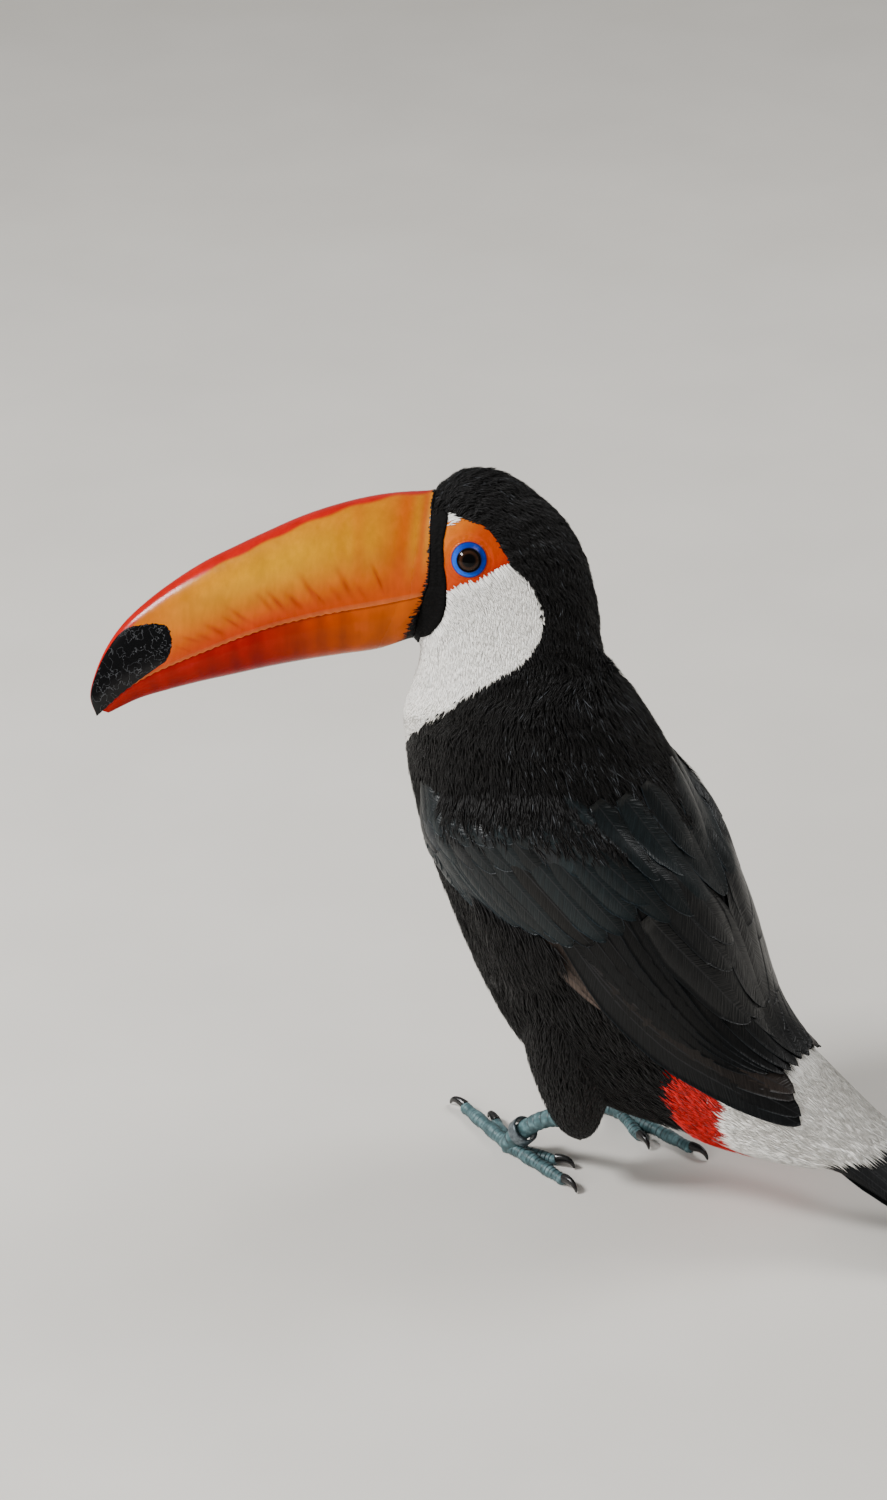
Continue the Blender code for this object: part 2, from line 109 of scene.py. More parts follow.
HEAD_TURN, HEAD_ROLL = radians(27), radians(18)
HEAD_AT = np.array([0.0, -52.1, 286.5])
HEAD_FORWARD = np.array([sin(HEAD_TURN), -cos(HEAD_TURN), 0.0])
HEAD_LEFT = np.array([cos(HEAD_TURN) * cos(HEAD_ROLL), sin(HEAD_TURN) * cos(HEAD_ROLL), sin(HEAD_ROLL)])
HEAD_UP = np.cross(HEAD_FORWARD, HEAD_LEFT)
EYE_AHEAD, EYE_UP, EYE_OUT, EYE_RADIUS = 0.2, 2.8, 21.3, 8.0


def in_head(forward, up, left=0.0):
    """A point given by its distance ahead of, above and to the left of the middle of the head."""
    forward, up, left = (np.asarray(a, float)[..., None] for a in (forward, up, left))
    return HEAD_AT + forward * HEAD_FORWARD + up * HEAD_UP + left * HEAD_LEFT


def seen_from_head(points):
    """How far ahead of, above and to the left of the middle of the head points are."""
    away = np.asarray(points, float) - HEAD_AT
    return away @ HEAD_FORWARD, away @ HEAD_UP, away @ HEAD_LEFT


def curve_through(values, where):
    """A smooth curve through values at 0, 1, 2..., read at the numbers in where (Catmull-Rom)."""
    values = np.asarray(values, float)
    last = len(values) - 1
    where = np.clip(np.asarray(where, float), 0, last)
    i = np.minimum(where.astype(int), last - 1)
    f = (where - i).reshape(where.shape + (1,) * (values.ndim - 1))
    before, a = values[np.maximum(i - 1, 0)], values[i]
    b, after = values[i + 1], values[np.minimum(i + 2, last)]
    slope_a = np.where((i > 0).reshape(f.shape), (b - before) / 2, b - a)
    slope_b = np.where((i < last - 1).reshape(f.shape), (after - a) / 2, b - a)
    return (
        a * (2 * f**3 - 3 * f**2 + 1)
        + b * (3 * f**2 - 2 * f**3)
        + slope_a * (f**3 - 2 * f**2 + f)
        + slope_b * (f**3 - f**2)
    )


def head_section(throat, crown, half_width, square=2.2):
    """One section of the head between two points on its outline, as (middle, up, left, depth, width, squareness)."""
    low, high = in_head(*throat), in_head(*crown)
    return (low + high) / 2, unit(high - low), HEAD_LEFT, np.linalg.norm(high - low) / 2, half_width, square


def trunk_section(belly, back, half_width, square=2.2, turn=0.0, roll=0.0):
    """One section of the trunk, as head_section gives it, between a point on the belly and one on the back."""
    low, high = np.array(belly, float), np.array(back, float)
    turn, roll = radians(turn), radians(roll)
    left = np.array([cos(turn) * cos(roll), sin(turn) * cos(roll), sin(roll)])
    up = unit(high - low)
    left = unit(left - up * (left @ up))
    return (low + high) / 2, up, left, np.linalg.norm(high - low) / 2, half_width, square


SECTIONS = [
    head_section((24.5, -35.0), (15.5, 31.0), 19.5),
    head_section((22.0, -38.5), (3.0, 39.8), 22.5),
    head_section((22.0, -42.5), (-14.0, 39.2), 25.5),
    head_section((22.5, -46.5), (-31.0, 28.5), 27.5),
    head_section((24.0, -51.0), (-47.0, 11.0), 29.0),
    head_section((26.0, -57.5), (-56.0, -14.0), 31.0),
    head_section((29.0, -66.0), (-59.5, -40.0), 34.5),
    trunk_section((10, -76, 203), (-4, 17, 241), 39, turn=12, roll=7),
    trunk_section((1, -75, 179), (0, 29, 226), 44),
    trunk_section((0, -66, 150), (0, 43, 204), 48),
    trunk_section((0, -53, 119), (0, 58, 178), 49),
    trunk_section((0, -38, 88), (0, 71, 151), 49),
    trunk_section((0, -18, 59), (0, 82, 127), 47),
    trunk_section((0, 18, 37), (0, 91, 104), 42),
    trunk_section((0, 62, 31), (0, 103, 84), 36),
    trunk_section((0, 103, 29), (0, 122, 67), 31),
    trunk_section((0, 142, 29), (0, 149, 47), 23),
]
CENTRE, BACK, LEFT, DEPTH, WIDTH, SQUARE = (np.array([s[k] for s in SECTIONS]) for k in range(6))
LAST_SECTION = len(SECTIONS) - 1
LAST_FEATHER = LAST_SECTION + 1.5  # the rump feathers run on past the body, down to the tail

TAIL_BASE, TAIL_TIP = np.array([0.0, 146.6, 38.0]), np.array([0.0, 238.0, 6.4])
TAIL_RUN = unit(TAIL_TIP - TAIL_BASE)
TAIL_UP = np.array([0.0, -TAIL_RUN[2], TAIL_RUN[1]])
TAIL_HALF_WIDTHS = [21.5, 24.5, 27.0, 29.0, 30.0, 29.5, 26.5, 16.0]
TAIL_LENGTH, TAIL_ROOF = 96.7, 3.2  # and how far its edges hang below its middle
# The flat oval that the rump's feathers end in, with its place along the tail.
OVAL_HALF_WIDTH, OVAL_HALF_HEIGHT, OVAL_AT = 25.5, 1.5, 42.0


def body_raw(t, around):
    """Egg-shaped sections strung on a curve: centre + back * depth * cos^p + left * width * sin^p. Past the last
    section it draws in, in a straight line, to a flat oval round the tail."""
    c, s = np.cos(around)[..., None], np.sin(around)[..., None]
    centre = curve_through(CENTRE, t)
    back, left = unit(curve_through(BACK, t)), unit(curve_through(LEFT, t))
    depth, width = curve_through(DEPTH, t)[..., None], curve_through(WIDTH, t)[..., None]
    power = (2 / curve_through(SQUARE, t))[..., None]
    at = centre + back * depth * signed_power(c, power) + left * width * signed_power(s, power)
    past = np.clip(t - LAST_SECTION, 0, None)[..., None] / (LAST_FEATHER - LAST_SECTION)
    x = OVAL_HALF_WIDTH * signed_power(s, 0.9)
    flat = TAIL_BASE + TAIL_RUN * OVAL_AT + TAIL_UP * (OVAL_HALF_HEIGHT * c - TAIL_ROOF * (x / 28) ** 2)
    return at + (flat + x * SIDEWAYS - at) * past


# The body is looked up in a fine table of points and outward directions.
STEP_T, STEP_A = 0.01, 0.5
TABLE_T = np.arange(0, LAST_FEATHER + STEP_T / 2, STEP_T)
TABLE_A = np.radians(np.arange(0, 360 + STEP_A / 2, STEP_A))


def make_table():
    """The body's points and outward directions at each t and around of the table."""
    t, a = every(TABLE_T, TABLE_A)
    at = body_raw(t, a)
    along = np.gradient(at, axis=0)
    across = (np.roll(at[:, :-1], -1, axis=1) - np.roll(at[:, :-1], 1, axis=1))[:, np.r_[0 : at.shape[1] - 1, 0]]
    return at, unit(np.cross(across, along))


TABLE_AT, TABLE_OUT = make_table()


def read_table(table, t, around):
    """The table's value at t and around, by straight lines between its four nearest entries."""
    t, around = np.broadcast_arrays(np.asarray(t, float), np.asarray(around, float))
    u = np.clip(t / STEP_T, 0, len(TABLE_T) - 1.001)
    v = np.mod(np.degrees(around), 360.0) / STEP_A
    i, j = u.astype(int), np.minimum(v.astype(int), len(TABLE_A) - 2)
    f, g = (u - i)[..., None], (v - j)[..., None]
    return (1 - f) * ((1 - g) * table[i, j] + g * table[i, j + 1]) + f * (
        (1 - g) * table[i + 1, j] + g * table[i + 1, j + 1]
    )


def on_body(t, around, lift=0.0):
    """The plumage's surface. t counts SECTIONS; around is 0 on the back, a quarter turn on the left side."""
    return read_table(TABLE_AT, t, around) + unit(read_table(TABLE_OUT, t, around)) * np.asarray(lift, float)[..., None]


def on_tail(ahead, across, lift=0.0):
    """The middle of the tail's roof, with ahead in mm from its base and across in mm to the left."""
    ahead, across = np.broadcast_arrays(np.asarray(ahead, float), np.asarray(across, float))
    half = curve_through(TAIL_HALF_WIDTHS, ahead / TAIL_LENGTH * 7)
    sag = TAIL_ROOF * (across / half) ** 2
    return (
        TAIL_BASE
        + TAIL_RUN * ahead[..., None]
        + TAIL_UP * (np.asarray(lift, float) - sag)[..., None]
        + across[..., None] * SIDEWAYS
    )


# Wings as they lie on the body: (section number, degrees round from the back).
WING_FRONT = np.array([(10.6, 3), (10.1, 24), (9.25, 44), (8.6, 60), (8.3, 88), (8.12, 112), (8.02, 131), (8.7, 139)])
WING_EDGE = np.array([
    (8.02, 131), (8.45, 137), (8.70, 139), (8.90, 136), (9.50, 122), (9.95, 108), (10.35, 96), (11.00, 87.5),
    (11.98, 78), (12.90, 71.5), (13.80, 67), (14.60, 66), (15.20, 60), (15.40, 50),
])
WING_LIFT = 1.5  # how far the wing's edge stands off the body, in mm
# How far down the mantle's hair-like feathers are rooted, on the wing and between the wings.
HAIR_EDGE = np.array([
    (9.80, 0), (9.70, 20), (9.55, 35), (9.3, 52), (9.12, 63), (8.92, 71), (8.62, 81), (8.5, 100), (8.32, 118),
    (8.0, 128), (8.2, 139),
])


def wing_edge_at(t):
    return np.interp(t, *WING_EDGE.T)


def behind_wing_front(t, around):
    """How many sections behind the wing's front line a point lies."""
    return t - np.interp(np.abs(np.degrees(around)), WING_FRONT[:, 1], WING_FRONT[:, 0])


def wing_height(t, around):
    """How far the folded wing stands off the body: a thickness that thins towards the tail, times a rounded
    profile from the wing's edge to the back, rising from its front line."""
    edge = wing_edge_at(t)
    w = np.clip((edge - np.abs(np.degrees(around))) / np.maximum(edge - 3, 1), 0.05, 0.95)
    thick = np.interp(t, [8, 10.7, 11, 15.25], [7.5, 5.3, 4.8, 1.2])
    rise = smooth_step((behind_wing_front(t, around) + 0.15) / 0.8)
    return rise * (WING_LIFT + thick * np.sin(w * pi) ** 0.5)


def on_wing(t, around, lift=0.0):
    return on_body(t, around, wing_height(t, around) + lift)


def on_rump(t, around, lift=0.0):
    """The body's surface with the loose feathers below the flanks hanging 2 mm lower."""
    degrees = from_back(around)
    loose = smooth_step((degrees - 95) / 30) * smooth_step((16 - t) / 0.7) * smooth_step((t - 13.4) / 0.6)
    return on_body(t, around, 2.0 * loose + lift)


# ---------------------------------------------------------------- markings


def head_spot(forward, up):
    """Where a point seen from the side of the head lies on the body: (t, degrees round), on the left."""
    rows, columns = slice(0, 600, 2), slice(0, 361, 2)
    f, p, _ = seen_from_head(TABLE_AT[rows, columns])
    far = (f - forward) ** 2 + (p - up) ** 2
    i, j = np.unravel_index(np.argmin(far), far.shape)
    return TABLE_T[rows][i], np.degrees(TABLE_A[columns][j])


def spots(points):
    """The places on the body of an outline drawn on the side of the head."""
    return [head_spot(*point) for point in points]


def inside(t, degrees, corners):
    """Which points lie inside a closed outline, by counting how often a line from each crosses it."""
    hit = np.zeros(np.shape(t), bool)
    for (t0, a0), (t1, a1) in zip(corners, corners[1:] + corners[:1]):
        if a0 == a1:
            continue
        crosses = (a0 > degrees) != (a1 > degrees)
        hit ^= crosses & (t < t0 + (degrees - a0) * (t1 - t0) / (a1 - a0))
    return hit


# Outlines on the side of the head, as (forward, up).
BAND_BACK = [
    (9.7, 22.7), (10.2, 17.4), (11.6, 11.0), (11.8, 7.0), (11.5, -0.4), (10.6, -4.9), (10.2, -10.2), (10.6, -13.0),
    (10.5, -17.3), (12.3, -24.1), (14.6, -27.6), (17.3, -31.1), (22.0, -33.7),
]
BAND_FRONT = [
    (16.6, 24.0), (17.1, 15.0), (17.2, 3.0), (17.6, -8.0), (19.5, -13.0), (21.0, -18.0), (23.0, -26.0), (25.0, -33.0),
]
FACE_TOP = [
    (-16.7, 1.7), (-13.5, 6.0), (-10.0, 11.9), (-5.8, 16.3), (-0.1, 18.3), (4.1, 19.5), (5.8, 20.6), (9.7, 22.7),
]
FACE_OUTLINE = [
    (9.7, 17.0), (7.0, 18.7), *FACE_TOP[5::-1], (-12.4, -0.7), (-9.0, -1.8), (-2.9, -5.8), (4.3, -7.3), (9.3, -10.8),
    (13.0, -10.8), (14.5, 0.0), (14.5, 8.0), (13.5, 17.0),
]
# The white bib's rear border, as (t, degrees round), from behind the face down to the breast.
BIB_REAR = [
    (3.30, 72), (3.88, 68), (4.38, 66), (4.78, 65), (5.10, 70), (5.38, 79), (5.58, 95), (5.65, 104), (5.80, 113),
    (6.03, 118), (6.20, 126), (6.58, 135), (6.98, 151), (7.22, 180), (7.22, 200),
]
WHITE_BIB = spots(BAND_BACK) + [(-0.1, 178), (-0.1, 200)] + BIB_REAR[::-1] + spots(FACE_TOP)
FACE_SPOTS = spots(FACE_OUTLINE)
RED_VENT = [
    (13.02, 72), (13.5, 69), (13.88, 76), (14.28, 111), (14.6, 135), (15.1, 152), (15.5, 180), (15.5, 200),
    (14.2, 200), (14.2, 150), (14.0, 121), (13.42, 98), (13.15, 87),
]
BLACK, WHITE, RED, BARE = range(4)


def marking(t, around):
    """Which of the bird's colours grows at a point: black all over, but for the white bib and rump, the red vent
    and the bare face. Skin and feathers both read it."""
    a = from_back(around)
    kind = np.full(np.shape(t), BLACK)
    rump = np.interp(a, [0, 55, 60, 75, 111, 140, 180], [12.6, 12.9, 13.2, 13.8, 14.2, 14.5, 14.9])
    kind[t > rump] = WHITE
    kind[t > np.interp(a, [0, 43, 73, 90, 127, 180], [15.95, 15.85, 15.65, 15.5, 15.3, 15.2])] = BLACK
    kind[inside(t, a, WHITE_BIB)] = WHITE
    kind[inside(t, a, FACE_SPOTS)] = BARE
    kind[inside(t, a, RED_VENT)] = RED
    return kind


# ---------------------------------------------------------------- putting meshes into the scene


def linear(code, alpha=1.0):
    """A colour from its sRGB hex code."""
    c = np.array([int(code.lstrip("#")[i : i + 2], 16) for i in (0, 2, 4)]) / 255
    return (*np.where(c <= 0.04045, c / 12.92, ((c + 0.055) / 1.055) ** 2.4).tolist(), alpha)


def rgb(code):
    return np.array(linear(code)[:3])


def mixed(first, second, share):
    """Colours moved from the first towards the second by a share at each point."""
    return first + (second - first) * np.asarray(share)[..., None]


def put_mesh(name, points, quads, tris, material, slot, replaces=(), uvs=None, fields=None, flip=False):
    """One piece of the bird from arrays of points, four-cornered and three-cornered faces. uvs are maps read
    per point, and fields are colours or numbers kept at each point for the material."""
    points = to_row(np.reshape(points, (-1, 3)))
    quads, tris = np.asarray(quads, int).reshape(-1, 4), np.asarray(tris, int).reshape(-1, 3)
    if flip:
        quads, tris = quads[:, ::-1], tris[:, ::-1]
    corners = np.concatenate([quads.ravel(), tris.ravel()])
    sizes = np.concatenate([np.full(len(quads), 4), np.full(len(tris), 3)])
    mesh = bpy.data.meshes.new(name)
    mesh.vertices.add(len(points))
    mesh.vertices.foreach_set("co", points.ravel())
    mesh.loops.add(len(corners))
    mesh.loops.foreach_set("vertex_index", corners)
    mesh.polygons.add(len(sizes))
    mesh.polygons.foreach_set("loop_start", np.concatenate([[0], np.cumsum(sizes)[:-1]]))
    mesh.polygons.foreach_set("loop_total", sizes)
    mesh.update(calc_edges=True)
    mesh.polygons.foreach_set("use_smooth", np.ones(len(sizes), bool))
    for key, values in (uvs or {}).items():
        layer = mesh.uv_layers.new(name=key)
        layer.uv.foreach_set("vector", np.asarray(values, float).reshape(-1, 2)[corners].ravel())
    for key, values in (fields or {}).items():
        values = np.asarray(values, float)
        if values.ndim == 2:
            layer = mesh.color_attributes.new(key, "FLOAT_COLOR", "POINT")
            layer.data.foreach_set("color", np.c_[values[:, :3], np.ones(len(values))].ravel())
        else:
            layer = mesh.attributes.new(key, "FLOAT", "POINT")
            layer.data.foreach_set("value", values)
    mesh.materials.append(material)
    piece = bpy.data.objects.new(name, mesh)
    bpy.context.scene.collection.objects.link(piece)
    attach(piece, "root")
    if replaces:
        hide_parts(*replaces)


def grid_faces(rows, columns, closed=False, start=0, hoop=False):
    """Quads of a grid of points; a closed one joins its last column to its first, and a hoop its last row too."""
    index = start + np.arange(rows * columns).reshape(rows, columns)
    if hoop:
        index = np.concatenate([index, index[:1]])
    ahead = np.roll(index, -1, axis=1)
    if not closed:
        index, ahead = index[:, :-1], ahead[:, :-1]
    return np.stack([index[:-1], ahead[:-1], ahead[1:], index[1:]], axis=-1).reshape(-1, 4)


def fan(ring, middle, turned=False):
    """Triangles from a closed ring of point numbers to one point."""
    ring = np.asarray(ring)
    ends = np.roll(ring, -1)
    tris = np.stack([ring, ends, np.full(len(ring), middle)], axis=-1)
    return tris[:, ::-1] if turned else tris


def closed_tube(rings):
    """Points and faces of a tube through rings of points with a rounded-off middle point at each end."""
    rings = np.asarray(rings, float)
    rows, columns = rings.shape[:2]
    points = np.concatenate([rings.reshape(-1, 3), rings[0].mean(0)[None], rings[-1].mean(0)[None]])
    last = rows * columns
    first_ring, last_ring = np.arange(columns), np.arange(columns) + (rows - 1) * columns
    tris = np.concatenate([fan(first_ring, last, True), fan(last_ring, last + 1)])
    return points, grid_faces(rows, columns, closed=True), tris


def outward(points, quads, tris):
    """True if a closed mesh's faces point outwards, by the sign of its volume."""
    all_tris = np.concatenate([quads[:, :3], quads[:, [0, 2, 3]], tris])
    a, b, c = (points[all_tris[:, k]] for k in range(3))
    return np.einsum("ij,ij->", a, np.cross(b, c)) > 0


def put_solid(name, points, quads, tris, material, slot, **rest):
    """A closed piece with its faces turned outwards."""
    points, tris = np.reshape(points, (-1, 3)), np.reshape(tris, (-1, 3)).astype(int)
    put_mesh(name, points, quads, tris, material, slot, flip=not outward(points, quads, tris), **rest)


def put_tube(name, rings, material, slot, **rest):
    """A piece through closed rings of points, with rounded-off ends."""
    put_solid(name, *closed_tube(rings), material, slot, **rest)


def put_hoop(name, rings, material, slot, **rest):
    """A piece through closed rings of points, the last of which joins the first."""
    put_solid(name, rings, grid_faces(*rings.shape[:2], closed=True, hoop=True), (), material, slot, **rest)


def with_ends(values, ends=None):
    """What closed_tube's points carry: the values of its rings, and one more for each end."""
    values = values.reshape(-1, *values.shape[2:])
    return np.concatenate([values, values[[0, -1]] if ends is None else ends])


def join(parts):
    """Closed meshes of points, quads and triangles put together as one, each with its faces outwards."""
    start, turned = 0, []
    for points, quads, tris in parts:
        way = 1 if outward(points, quads, tris) else -1
        turned.append((points, quads[:, ::way] + start, tris[:, ::way] + start))
        start += len(points)
    return [np.concatenate(arrays) for arrays in zip(*turned)]


# ---------------------------------------------------------------- materials


# The kinds of node that materials are made of: type, settings, the sockets its values go to in turn with what they
# usually hold, and the output that is read.
NODES = {
    "position": ("ShaderNodeTexCoord", {}, {}, "Object"),
    "number": ("ShaderNodeAttribute", {}, {}, "Fac"),
    "colour": ("ShaderNodeAttribute", {}, {}, "Color"),
    "map": ("ShaderNodeUVMap", {}, {}, 0),
    # Noise between 0 and 1, and cells, with their scale per metre.
    "clouds": ("ShaderNodeTexNoise", {}, {"Vector": None, "Scale": None, "Detail": 3.0}, 0),
    "cells": ("ShaderNodeTexVoronoi", {}, {"Vector": None, "Scale": None}, 0),
    "stretch": ("ShaderNodeMapping", {}, {"Vector": None, "Scale": None}, 0),
    # Carry values from low to high on to start to end, and cut off the rest.
    "remap": ("ShaderNodeMapRange", {}, dict.fromkeys(range(5)), 0),
    "sum": ("ShaderNodeMath", {"operation": "ADD"}, {0: None, 1: 0.0}, 0),
    "difference": ("ShaderNodeMath", {"operation": "SUBTRACT"}, {0: None, 1: 0.0}, 0),
    "size": ("ShaderNodeMath", {"operation": "ABSOLUTE"}, {0: None, 1: 0.0}, 0),
    "larger": ("ShaderNodeMath", {"operation": "MAXIMUM"}, {0: None, 1: 0.0}, 0),
    "shade": ("ShaderNodeVectorMath", {"operation": "SCALE"}, {0: None, "Scale": None}, 0),
    "blend": ("ShaderNodeMix", {"data_type": "RGBA"}, {0: None, 6: None, 7: None}, 2),
    "ramp": ("ShaderNodeValToRGB", {}, {0: None}, 0),
    "first": ("ShaderNodeSeparateXYZ", {}, {0: None}, 0),
    "pair": ("ShaderNodeCombineXYZ", {}, {0: None, 1: None}, 0),
    "bump": ("ShaderNodeBump", {}, {"Height": None, "Strength": None, "Distance": None}, 0),
    "shader": ("ShaderNodeBsdfPrincipled", {}, {"Base Color": None, "Roughness": None, "IOR": None}, 0),
    "surface": ("ShaderNodeOutputMaterial", {}, {"Surface": None}, None),
}


def add(tree, kind, *values, inputs=(), stops=(), **settings):
    """Add a node with its settings and links, and give its output. A value is a number, a colour's hex code or
    another node's output; stops are a ramp's (position, hex code)."""
    node_type, usual, sockets, output = NODES[kind]
    made = tree.nodes.new(node_type)
    for key, value in {**usual, **settings}.items():
        setattr(made, key, value)
    for number, (position, code) in enumerate(stops):
        if number >= len(made.color_ramp.elements):
            made.color_ramp.elements.new(position)
        element = made.color_ramp.elements[number]
        element.position, element.color = position, linear(code)
    for key, value in {**sockets, **dict(zip(sockets, values)), **dict(inputs)}.items():
        if isinstance(value, bpy.types.NodeSocket):
            tree.links.new(value, made.inputs[key])
        elif value is not None:
            made.inputs[key].default_value = linear(value) if isinstance(value, str) else value
    return made.outputs[output] if output is not None else None


def start_material(name):
    """An empty node material, its node tree and the position that its patterns are read from."""
    made = bpy.data.materials.new(name)
    made.use_nodes = True
    made.node_tree.nodes.clear()
    return made, made.node_tree, add(made.node_tree, "position")


def finish_material(tree, colour, rough, ior, bump=None, more=()):
    """Close a material with its shader. bump is (height, strength, depth in metres)."""
    more = dict(more)
    if bump:
        more["Normal"] = add(tree, "bump", *bump)
    add(tree, "surface", add(tree, "shader", colour, rough, ior, inputs=more))


def plumage_material(name, gloss, sheen, ripple, shine):
    """Contour feathers of a living bird: keratin barbs with loose ends. The eye sees a soft satin with fine
    lines, so roughness is high, a little sheen stands for the barbules, and each tuft has its own tone."""
    made, tree, where = start_material(name)
    # Barbs lie 0.3 mm apart, too fine to show, so the grain is drawn at about 1 mm.
    grain = add(tree, "clouds", where, 900.0, 2.0)
    coat = add(tree, "colour", attribute_name="Coat")
    tone = add(tree, "shade", coat, add(tree, "remap", grain, 0.3, 0.7, 1 - ripple, 1 + ripple))
    rough = add(tree, "remap", grain, 0.0, 1.0, gloss, gloss + 0.18)
    more = {"Sheen Weight": sheen, "Sheen Roughness": 0.4, "Specular IOR Level": shine}
    finish_material(tree, tone, rough, 1.54, more=more)
    return made


def vane_material(name, gloss, shine, edge_colour="#3A4347"):
    """Flight feathers and coverts: flat vanes of hooked barbs on a horny shaft. The eye sees fine slanting lines,
    a pale shaft, a slightly paler edge and a dull gloss that runs with the barbs."""
    made, tree, _ = start_material(name)
    vane, barb = (add(tree, "map", uv_map=key) for key in ("Vane", "Barb"))
    # Barbs are 0.35 mm apart; they are drawn 1.1 mm apart, or they would not show.
    streak = add(tree, "clouds", add(tree, "stretch", barb, (9.0, 0.9, 1.0)), 1.0)
    across = add(tree, "first", vane)
    from_shaft = add(tree, "size", add(tree, "difference", across, 0.5))
    coat = add(tree, "colour", attribute_name="Coat")
    tone = add(tree, "shade", coat, add(tree, "remap", streak, 0.3, 0.7, 0.6, 1.4))
    tone = add(tree, "blend", add(tree, "remap", from_shaft, 0.46, 0.5, 0.0, 0.6), tone, edge_colour)
    tone = add(tree, "blend", add(tree, "remap", from_shaft, 0.010, 0.028, 0.6, 0.0), tone, "#242426")
    rough = add(tree, "remap", streak, 0.0, 1.0, gloss - 0.06, gloss + 0.12)
    finish_material(tree, tone, rough, 1.54, (streak, 0.8, 0.0006), {"Specular IOR Level": shine})
    return made


def horn_material(name, shine):
    """The bill's horn: thin keratin over a light core, worn to a polish. The eye sees clear saturated colour under
    a wet-looking gloss, with faint growth bands, hair scratches and a chipped black tip."""
    made, tree, where = start_material(name)
    rag = add(tree, "remap", add(tree, "clouds", where, 700.0), 0.0, 1.0, -1.3, 1.3)
    in_tip = add(tree, "remap", add(tree, "sum", add(tree, "number", attribute_name="tip"), rag), -0.25, 0.25, 0.0, 1.0)
    # The black at the base breaks up into short slivers along the bill.
    split = add(tree, "clouds", add(tree, "stretch", where, (260.0, 260.0, 1500.0)), 1.0, 2.0)
    split = add(tree, "sum", add(tree, "number", attribute_name="base"), add(tree, "remap", split, 0.3, 0.7, -1.9, 1.9))
    in_base = add(tree, "remap", split, -0.2, 0.2, 1.0, 0.0)
    horn = add(tree, "colour", attribute_name="Horn")
    horn = add(tree, "shade", horn, add(tree, "remap", add(tree, "clouds", where, 90.0), 0.3, 0.7, 0.88, 1.12))
    # Growth streaks in the horn run up and down the side.
    grown = add(tree, "clouds", add(tree, "stretch", where, (420.0, 420.0, 60.0)), 1.0)
    horn = add(tree, "shade", horn, add(tree, "remap", grown, 0.3, 0.7, 0.93, 1.06))
    # Scratches: thin pale lines where a bent noise crosses its middle value.
    bent = add(tree, "size", add(tree, "difference", add(tree, "clouds", where, 210.0, 4.0), 0.5))
    scratched = add(tree, "blend", add(tree, "remap", bent, 0.0, 0.007, 0.3, 0.0), "#040405", "#8A8C90")
    painted = add(tree, "blend", add(tree, "larger", in_tip, in_base), horn, scratched)
    fine = add(tree, "clouds", where, 320.0, 4.0)
    rough = add(tree, "remap", fine, 0.0, 1.0, 0.13, 0.30)
    # Preening scuffs the horn dull next to the rim.
    rough = add(tree, "sum", rough, add(tree, "remap", add(tree, "number", attribute_name="base"), 0.0, 9.0, 0.55, 0.0))
    more = {"Specular IOR Level": shine, "Coat Weight": 0.05, "Coat Roughness": 0.08}
    finish_material(tree, painted, rough, 1.54, (fine, 0.12, 0.0005), more)
    return made


def rim_material():
    """The velvet-black rim where the bill meets the head: ridged horn, nearly without polish."""
    made, tree, where = start_material("Ridged black horn rim")
    grain = add(tree, "clouds", add(tree, "stretch", where, (500.0, 500.0, 900.0)), 1.0, 4.0)
    tone = add(tree, "ramp", grain, stops=[(0.3, "#010101"), (0.75, "#070606")])
    finish_material(tree, tone, 0.7, 1.54, (grain, 0.7, 0.0008), {"Specular IOR Level": 0.08})
    return made


def face_material():
    """Bare skin round the eye: living skin, moist and tight. The eye sees orange that turns redder behind, a blue
    ring with a dark rim, a soft wet gloss and fine pores."""
    made, tree, where = start_material("Bare facial skin")
    pores = add(tree, "cells", where, 1300.0)
    skin, patches = add(tree, "colour", attribute_name="Skin"), add(tree, "clouds", where, 260.0)
    tone = add(tree, "shade", skin, add(tree, "remap", patches, 0.3, 0.7, 0.88, 1.1))
    more = {
        "Subsurface Weight": 0.1, "Subsurface Radius": (0.004, 0.0012, 0.0006), "Subsurface Scale": 0.5,
        "Specular IOR Level": 0.2, "Coat Weight": 0.06, "Coat Roughness": 0.1,
    }
    finish_material(tree, tone, 0.34, 1.4, (pores, 0.12, 0.0003), more)
    return made


def eye_material():
    """The eyeball: a wet cornea over a dark brown iris. The eye sees a near-black pupil, a brown ring with fine
    spokes and one sharp highlight."""
    made, tree, _ = start_material("Eye, wet cornea over brown iris")
    ring = add(tree, "number", attribute_name="from_pupil")
    turn = add(tree, "pair", add(tree, "number", attribute_name="turn"), ring)
    ring = add(tree, "sum", ring, add(tree, "remap", add(tree, "clouds", turn, 3.0), 0.0, 1.0, -0.25, 0.25))
    stops = [(0.0, "#010101"), (0.33, "#010101"), (0.37, "#1C0F08"), (0.48, "#321E12"), (0.56, "#140A06")]
    tone = add(tree, "ramp", add(tree, "remap", ring, 0.0, 8.0, 0.0, 1.0), stops=[*stops, (0.64, "#020202")])
    finish_material(tree, tone, 0.04, 1.376, more={"Specular IOR Level": 0.25})
    return made


